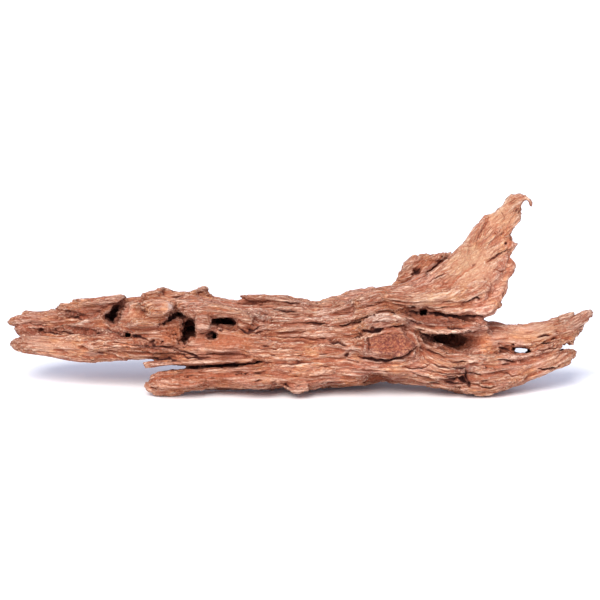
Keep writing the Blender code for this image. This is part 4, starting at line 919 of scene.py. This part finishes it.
def weatheringTree(finish):
    tree, size = addTree("weathering", {**weathering, "Finish": finish})
    bare = Wire(tree)
    grain = named(tree, "grain", "FLOAT_VECTOR")
    body, calm, rot = named(tree, "body"), named(tree, "calm"), named(tree, "rot")
    carved, crackShade = named(tree, "carve"), named(tree, "crackShade")
    seed = size["Seed"]
    rough = 1 - calm * 0.85

    wandering = grain.swayed(45 * mm, 16 * mm, 6.5 * mm, seed)
    flutes = wandering.valleys(size["Flute length"], size["Flute width"], 0.13, seed + 3) ** 1.3
    furrows = wandering.valleys(size["Furrow length"], size["Furrow width"], 0.10, seed + 11)
    where = wandering.stretched(70 * mm, 22 * mm).noise(1, 1, 0.5, seed + 23).step(0.42, 0.62)
    furrows = furrows * (0.35 + 0.65 * where)

    # plies: layers that break off in long steps
    across = bare.node("ShaderNodeSeparateXYZ", None, {0: wandering}, 1)
    inward = bare.node("ShaderNodeSeparateXYZ", None, {0: wandering}, 2)
    layer = (across * 0.8 + inward * 0.6) / size["Ply width"]
    layer = layer + wandering.stretched(38 * mm, 15 * mm).noise(1, 2, 0.5, seed + 31) * 3.0
    saw = layer.sum("FRACT", layer)
    edge = saw.step(0.0, 0.10)
    where = wandering.stretched(55 * mm, 18 * mm).noise(1, 1, 0.5, seed + 37).step(0.46, 0.6)
    plies = (1 - (saw * edge)) * where

    # checks: long narrow lens-shaped cracks, each one on its own
    spots = wandering.stretched(size["Check length"], size["Check width"])
    lens = spots.cells(1, "Distance").step(0.34, 0.05)
    chosen = bare.node("ShaderNodeSeparateXYZ", None, {0: spots.cells(1, "Color")}, 0)
    checks = lens * chosen.step(0.52, 0.72)

    fibres = wandering.stretched(size["Fibre length"], size["Fibre width"])
    fibres = fibres.noise(1, 3, 0.6, seed + 41) - 0.5
    place = bare.node("GeometryNodeInputPosition")
    crumb = place.stretched(size["Crumb size"], size["Crumb size"]).noise(1, 3, 0.6, seed + 51, 0.4)
    crumb = crumb.step(0.62, 0.35) * rot
    grit = place.stretched(size["Grit size"], size["Grit size"]).noise(1, 2, 0.6, seed + 61) - 0.5

    inset = flutes * size["Flute depth"] + furrows * size["Furrow depth"] + plies * size["Ply depth"]
    inset = inset * rough + checks * size["Check depth"] * (1 - 0.7 * calm)
    inset = inset + fibres * size["Fibre depth"] * (0.35 + 0.65 * rough) + crumb * size["Crumb depth"]
    inset = inset + grit * size["Grit depth"] * (0.5 + rot)
    inset = inset - 1.0 * mm * rough              # crests stand as far out as valleys go in
    total = (inset + carved) * (0.30 + 0.70 * body)

    # loose crumbs that the remesh left go first
    island = bare.node("GeometryNodeInputMeshIsland", None, None, "Island Index")
    each = {"Value": 1, "Group ID": island}
    count = bare.node("GeometryNodeAccumulateField", {"data_type": "INT"}, each, "Total")
    loose = count.sum("LESS_THAN", count, size["Least island"])
    crumbs = {"Geometry": size["Geometry"], "Selection": loose}
    whole = bare.node("GeometryNodeDeleteGeometry", {"domain": "POINT"}, crumbs)

    normal = bare.node("GeometryNodeInputNormal")
    push = normal.node("ShaderNodeVectorMath", {"operation": "SCALE"}, {0: normal, "Scale": total * -1})
    moved = bare.node("GeometryNodeSetPosition", None, {"Geometry": whole, "Offset": push})
    # crack: painted shade for the finish, from carved cracks and holes, checks and flutes
    moved = stored(moved, "crack", crackShade.most(checks * 0.8).most(flutes * 0.25 * rough))
    # how far each point stands out of the wood around it
    eased = {"Value": place, "Iterations": 14}
    around = bare.node("GeometryNodeBlurAttribute", {"data_type": "FLOAT_VECTOR"}, eased)
    proud = place.vector("SUBTRACT", around).vector("DOT_PRODUCT", normal, output=1)
    moved = stored(moved, "proud", proud / (0.5 * mm))
    endTree(tree, moved, size["Finish"])
    return tree


def thinOut(piece):
    thin = piece.modifiers.new("thin", "DECIMATE")
    thin.ratio = bareWood["faces"] / (2 * len(piece.data.polygons))
    bake(piece)
    print("driftwood scene: thinned to", len(piece.data.polygons), "faces")


hollowRays = {
    "reach": 22 * mm,         # wood farther off than this shuts nothing in
    "count": 13,
    "turn": 2.399963,         # from one ray to the next, the golden angle
    "spread": 0.92,           # how near to the surface the lowest one runs
}


def shadeHollows(piece):
    # how shut in each point is, by rays over its open side: the finish paints shade into these hollows
    places, normals = placesOf(piece), normalsOf(piece)
    tree = BVHTree.FromObject(piece, bpy.context.evaluated_depsgraph_get())
    reach, rays = hollowRays["reach"], hollowRays["count"]
    turns = np.arange(rays) * hollowRays["turn"]
    heights = 1 - (np.arange(rays) + 0.5) / rays * hollowRays["spread"]
    flat = np.sqrt(1 - heights ** 2)
    side = np.cross(normals, np.where(np.abs(normals[:, 2:]) < 0.9, [[0, 0, 1.0]], [[1.0, 0, 0]]))
    side /= np.linalg.norm(side, axis=1)[:, None] + 1e-12
    other = np.cross(normals, side)
    shut = np.zeros(len(places))
    starts = (places + normals * 0.25 * mm).tolist()
    for turn, high, low in zip(turns, heights, flat):
        ways = normals * high + side * low * math.cos(turn) + other * low * math.sin(turn)
        for i, way in enumerate(ways.tolist()):
            far = tree.ray_cast(starts[i], way, reach)[3]
            if far is not None:
                shut[i] += 1 - 0.6 * far / reach
    keepNumbers(piece, "shut", shut / rays)
    print("driftwood scene: hollows read")


# Finish
woodFinish = {
    "tan": (0.705, 0.342, 0.188),
    "rosy": (0.765, 0.400, 0.272),
    "orange": (0.780, 0.350, 0.150),
    "russet": (0.375, 0.096, 0.044),
    "cream": (0.980, 0.770, 0.590),
    "rot": (0.600, 0.165, 0.050),
    # dark purple-brown, for darker wood and for painted shade
    "darkBrownAndShade": (0.150, 0.038, 0.032),
    # near-black painted shade for shut-in hollows and cracks
    "stain": (0.055, 0.013, 0.010),
    "resin": (0.480, 0.370, 0.320),
    "sand": (0.480, 0.325, 0.182),
    "relief": 1.0 * mm,
}


def makeWoodFinish():
    finish = bpy.data.materials.new("weatheredWood")
    finish.use_nodes = True
    tree = finish.node_tree
    tree.nodes.clear()
    bare = Wire(tree)

    def layer(name, output="Fac"):
        kind = {"attribute_type": "GEOMETRY", "attribute_name": name}
        return bare.node("ShaderNodeAttribute", kind, None, output)

    crack, rot, pale, darkBrownAndShade, calm, resin = map(layer, ("crack", "rot", "pale", "darkBrownAndShade", "calm", "resin"))
    knot, shut, proud, crumble, sand = map(layer, ("knot", "shut", "proud", "crumble", "sand"))
    place = bare.node("ShaderNodeTexCoord", None, None, "Object")
    grain = layer("grain", "Vector").swayed(38 * mm, 10 * mm, 2.5 * mm, 0.5)

    wide = grain.valleys(30 * mm, 3.4 * mm, 0.075, 11.0)
    middling = grain.valleys(13 * mm, 1.7 * mm, 0.085, 12.0)
    fine = grain.valleys(6 * mm, 0.9 * mm, 0.10, 13.0)
    broad = grain.stretched(60 * mm, 5 * mm).noise(1, 3, 0.55, 1.0)
    narrow = grain.stretched(20 * mm, 1.35 * mm).noise(1, 4, 0.66, 2.0)
    cloud = place.noise(34, 2, 0.5, 4.0)
    other = place.noise(55, 2, 0.5, 6.0)
    speck = place.noise(620, 3, 0.65, 5.0)
    coarse = 1 - 0.68 * calm
    pebble = place.cells(1 / (2.1 * mm)).step(0.62, 0.18)

    # coats of colour, one over the other, and how much of it each one covers
    coats = [
        ("rosy", cloud.step(0.44, 0.60) * (0.9 - 0.6 * sand)),
        ("orange", other.step(0.50, 0.62) * 0.8),
        ("sand", sand * 0.62),
        ("russet", broad.step(0.48, 0.74) * 0.40),
        ("rot", rot * (0.60 + 0.40 * speck.step(0.40, 0.60))),
        # painted shade from the darker patches, which also darken rotten wood
        ("darkBrownAndShade", darkBrownAndShade * 0.72),
        ("russet", narrow.step(0.48, 0.76) * 0.56),
        ("cream", narrow.step(0.47, 0.24) * (0.38 - 0.14 * calm)),
        ("cream", pale * (0.45 + 0.55 * narrow.step(0.62, 0.40)) * 0.75),
        # crests painted lighter and hollows darker, partly painted highlight and shade, partly the wood's
        # paler crests; the grain's grooves, the low lines of the bump below, get painted shade as well as
        # darker grain
        ("cream", proud.step(0.12, 1.0) * (0.40 - 0.15 * calm)),
        ("russet", wide * 0.62 * coarse),
        ("russet", middling * 0.58 * coarse),
        ("darkBrownAndShade", fine * 0.34 * coarse),
        # painted shade in the hollows
        ("russet", proud.step(-0.10, -1.0) * 0.62),
        ("cream", speck.step(0.57, 0.70) * 0.42),
        ("darkBrownAndShade", speck.step(0.44, 0.29) * (0.42 + 0.50 * rot + 0.4 * knot)),
        ("rot", rot * 0.48),
        ("darkBrownAndShade", crumble * (1 - pebble) * 0.80),
        ("cream", crumble * pebble * 0.32),
        ("resin", resin * 0.75),
        ("russet", knot * (0.50 + 0.30 * other.step(0.40, 0.62))),
        ("darkBrownAndShade", knot * (0.18 + 0.70 * speck.step(0.52, 0.40))),
        ("orange", knot * speck.step(0.50, 0.60) * 0.45),
        # the same patches again, deepening the painted shade
        ("darkBrownAndShade", darkBrownAndShade * 0.32),
        # painted shade: russet, then near black, where rays find the point shut in, and near black in
        # cracks, holes, checks and flutes
        ("russet", shut.step(0.10, 0.60) * 0.55),
        ("stain", shut.step(0.42, 0.88) * (0.92 - 0.50 * rot)),
        ("stain", crack.step(0.20, 0.90) * 0.90),
    ]
    colour = woodFinish["tan"]
    for name, share in coats:
        colour = bare.blend(colour, woodFinish[name], share)

    height = narrow * 0.42 - wide * 0.45 - middling * 0.38 - fine * 0.22
    height = height * coarse + speck * (0.40 + 0.7 * rot + 0.3 * knot) + pebble * crumble * 1.1
    relief = {"Strength": 1.0, "Distance": woodFinish["relief"], "Height": height}
    bump = bare.node("ShaderNodeBump", None, relief)
    roughness = 0.80 + 0.14 * middling - 0.18 * resin
    shader = tree.nodes.new("ShaderNodeBsdfPrincipled")
    shader.inputs["Specular IOR Level"].default_value = 0.25
    for name, wire in {"Base Color": colour, "Roughness": roughness, "Normal": bump}.items():
        tree.links.new(wire.socket, shader.inputs[name])
    out = tree.nodes.new("ShaderNodeOutputMaterial")
    tree.links.new(shader.outputs[0], out.inputs[0])
    return finish


# Stage, light and camera
stageSetup = {
    "floorSize": 14.0, "floorTone": 0.98, "backdrop": 1.1,
    "skyTint": (0.74, 0.79, 1.00), "skyStrength": 0.86,
    "keyFrom": (-0.28, -0.82, 0.84), "keyStrength": 3.35, "keySpread": math.radians(34),
    "keyTint": (1.0, 0.98, 0.95),
    "sensor": 36,             # mm
}


def makeStage():
    half = stageSetup["floorSize"] / 2
    mesh = bpy.data.meshes.new("floor")
    corners = [(-half, -half, 0), (half, -half, 0), (half, half, 0), (-half, half, 0)]
    mesh.from_pydata(corners, [], [(0, 1, 2, 3)])
    floor = addPiece("floor", mesh)
    paint = bpy.data.materials.new("whitePaper")
    paint.use_nodes = True
    shader = paint.node_tree.nodes["Principled BSDF"]
    tone = stageSetup["floorTone"]
    shader.inputs["Base Color"].default_value = (tone, tone, tone, 1)
    shader.inputs["Roughness"].default_value = 0.9
    shader.inputs["Specular IOR Level"].default_value = 0.1
    mesh.materials.append(paint)

    scene = bpy.context.scene
    world = bpy.data.worlds.new("studio")
    scene.world = world
    world.use_nodes = True
    tree = world.node_tree
    tree.nodes.clear()
    bare = Wire(tree)

    def glow(tint, strength):
        return bare.node("ShaderNodeBackground", None, {"Color": tint, "Strength": strength})

    sky = glow(stageSetup["skyTint"], stageSetup["skyStrength"])
    white = glow((1, 1, 1), stageSetup["backdrop"])
    direct = bare.node("ShaderNodeLightPath", None, None, "Is Camera Ray")
    both = bare.node("ShaderNodeMixShader", None, {0: direct, 1: sky, 2: white})
    out = tree.nodes.new("ShaderNodeOutputWorld")
    tree.links.new(both.socket, out.inputs[0])

    key = bpy.data.lights.new("softKey", "SUN")
    key.energy, key.angle = stageSetup["keyStrength"], stageSetup["keySpread"]
    key.color = stageSetup["keyTint"]
    lamp = bpy.data.objects.new("softKey", key)
    lamp.rotation_mode = "QUATERNION"
    lamp.rotation_quaternion = Vector(stageSetup["keyFrom"]).to_track_quat("Z", "Y")
    scene.collection.objects.link(lamp)

    # the camera stands where the photo's did, with its middle on the picture's
    tip, far, middle = photoView["tip"], photoView["distance"], photoView["middle"]
    across, rise = fromPixels(photoView["frame"] / 2, photoView["frame"] / 2)
    across = across - middle[0]
    rise = rise - middle[2] * math.cos(tip) - middle[1] * math.sin(tip)
    target = Vector((across, 0, rise / math.cos(tip))) * mm
    back = Vector((0, -math.cos(tip), math.sin(tip)))
    lens = bpy.data.cameras.new("camera")
    lens.sensor_width = stageSetup["sensor"]
    lens.lens = stageSetup["sensor"] * far / (photoView["frame"] * photoView["pixel"] * mm)
    lens.clip_start, lens.clip_end = 0.05, 60
    camera = bpy.data.objects.new("camera", lens)
    camera.location = target + back * far
    camera.rotation_mode = "QUATERNION"
    camera.rotation_quaternion = (-back).to_track_quat("-Z", "Y")
    scene.collection.objects.link(camera)
    scene.camera = camera
    scene.view_settings.view_transform = "Standard"
    print("driftwood scene: stage set")


wood = makeBareWood(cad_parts["driftwood"])
layGrain(wood)
carve(wood)
woodUnder(wood)
finish = makeWoodFinish()
runTree(wood, weatheringTree(finish), {**weathering, "Finish": finish})
print("driftwood scene: weathered")
thinOut(wood)
shadeHollows(wood)
wood.data.shade_smooth()
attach(wood, "root")
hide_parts("driftwood")

makeStage()
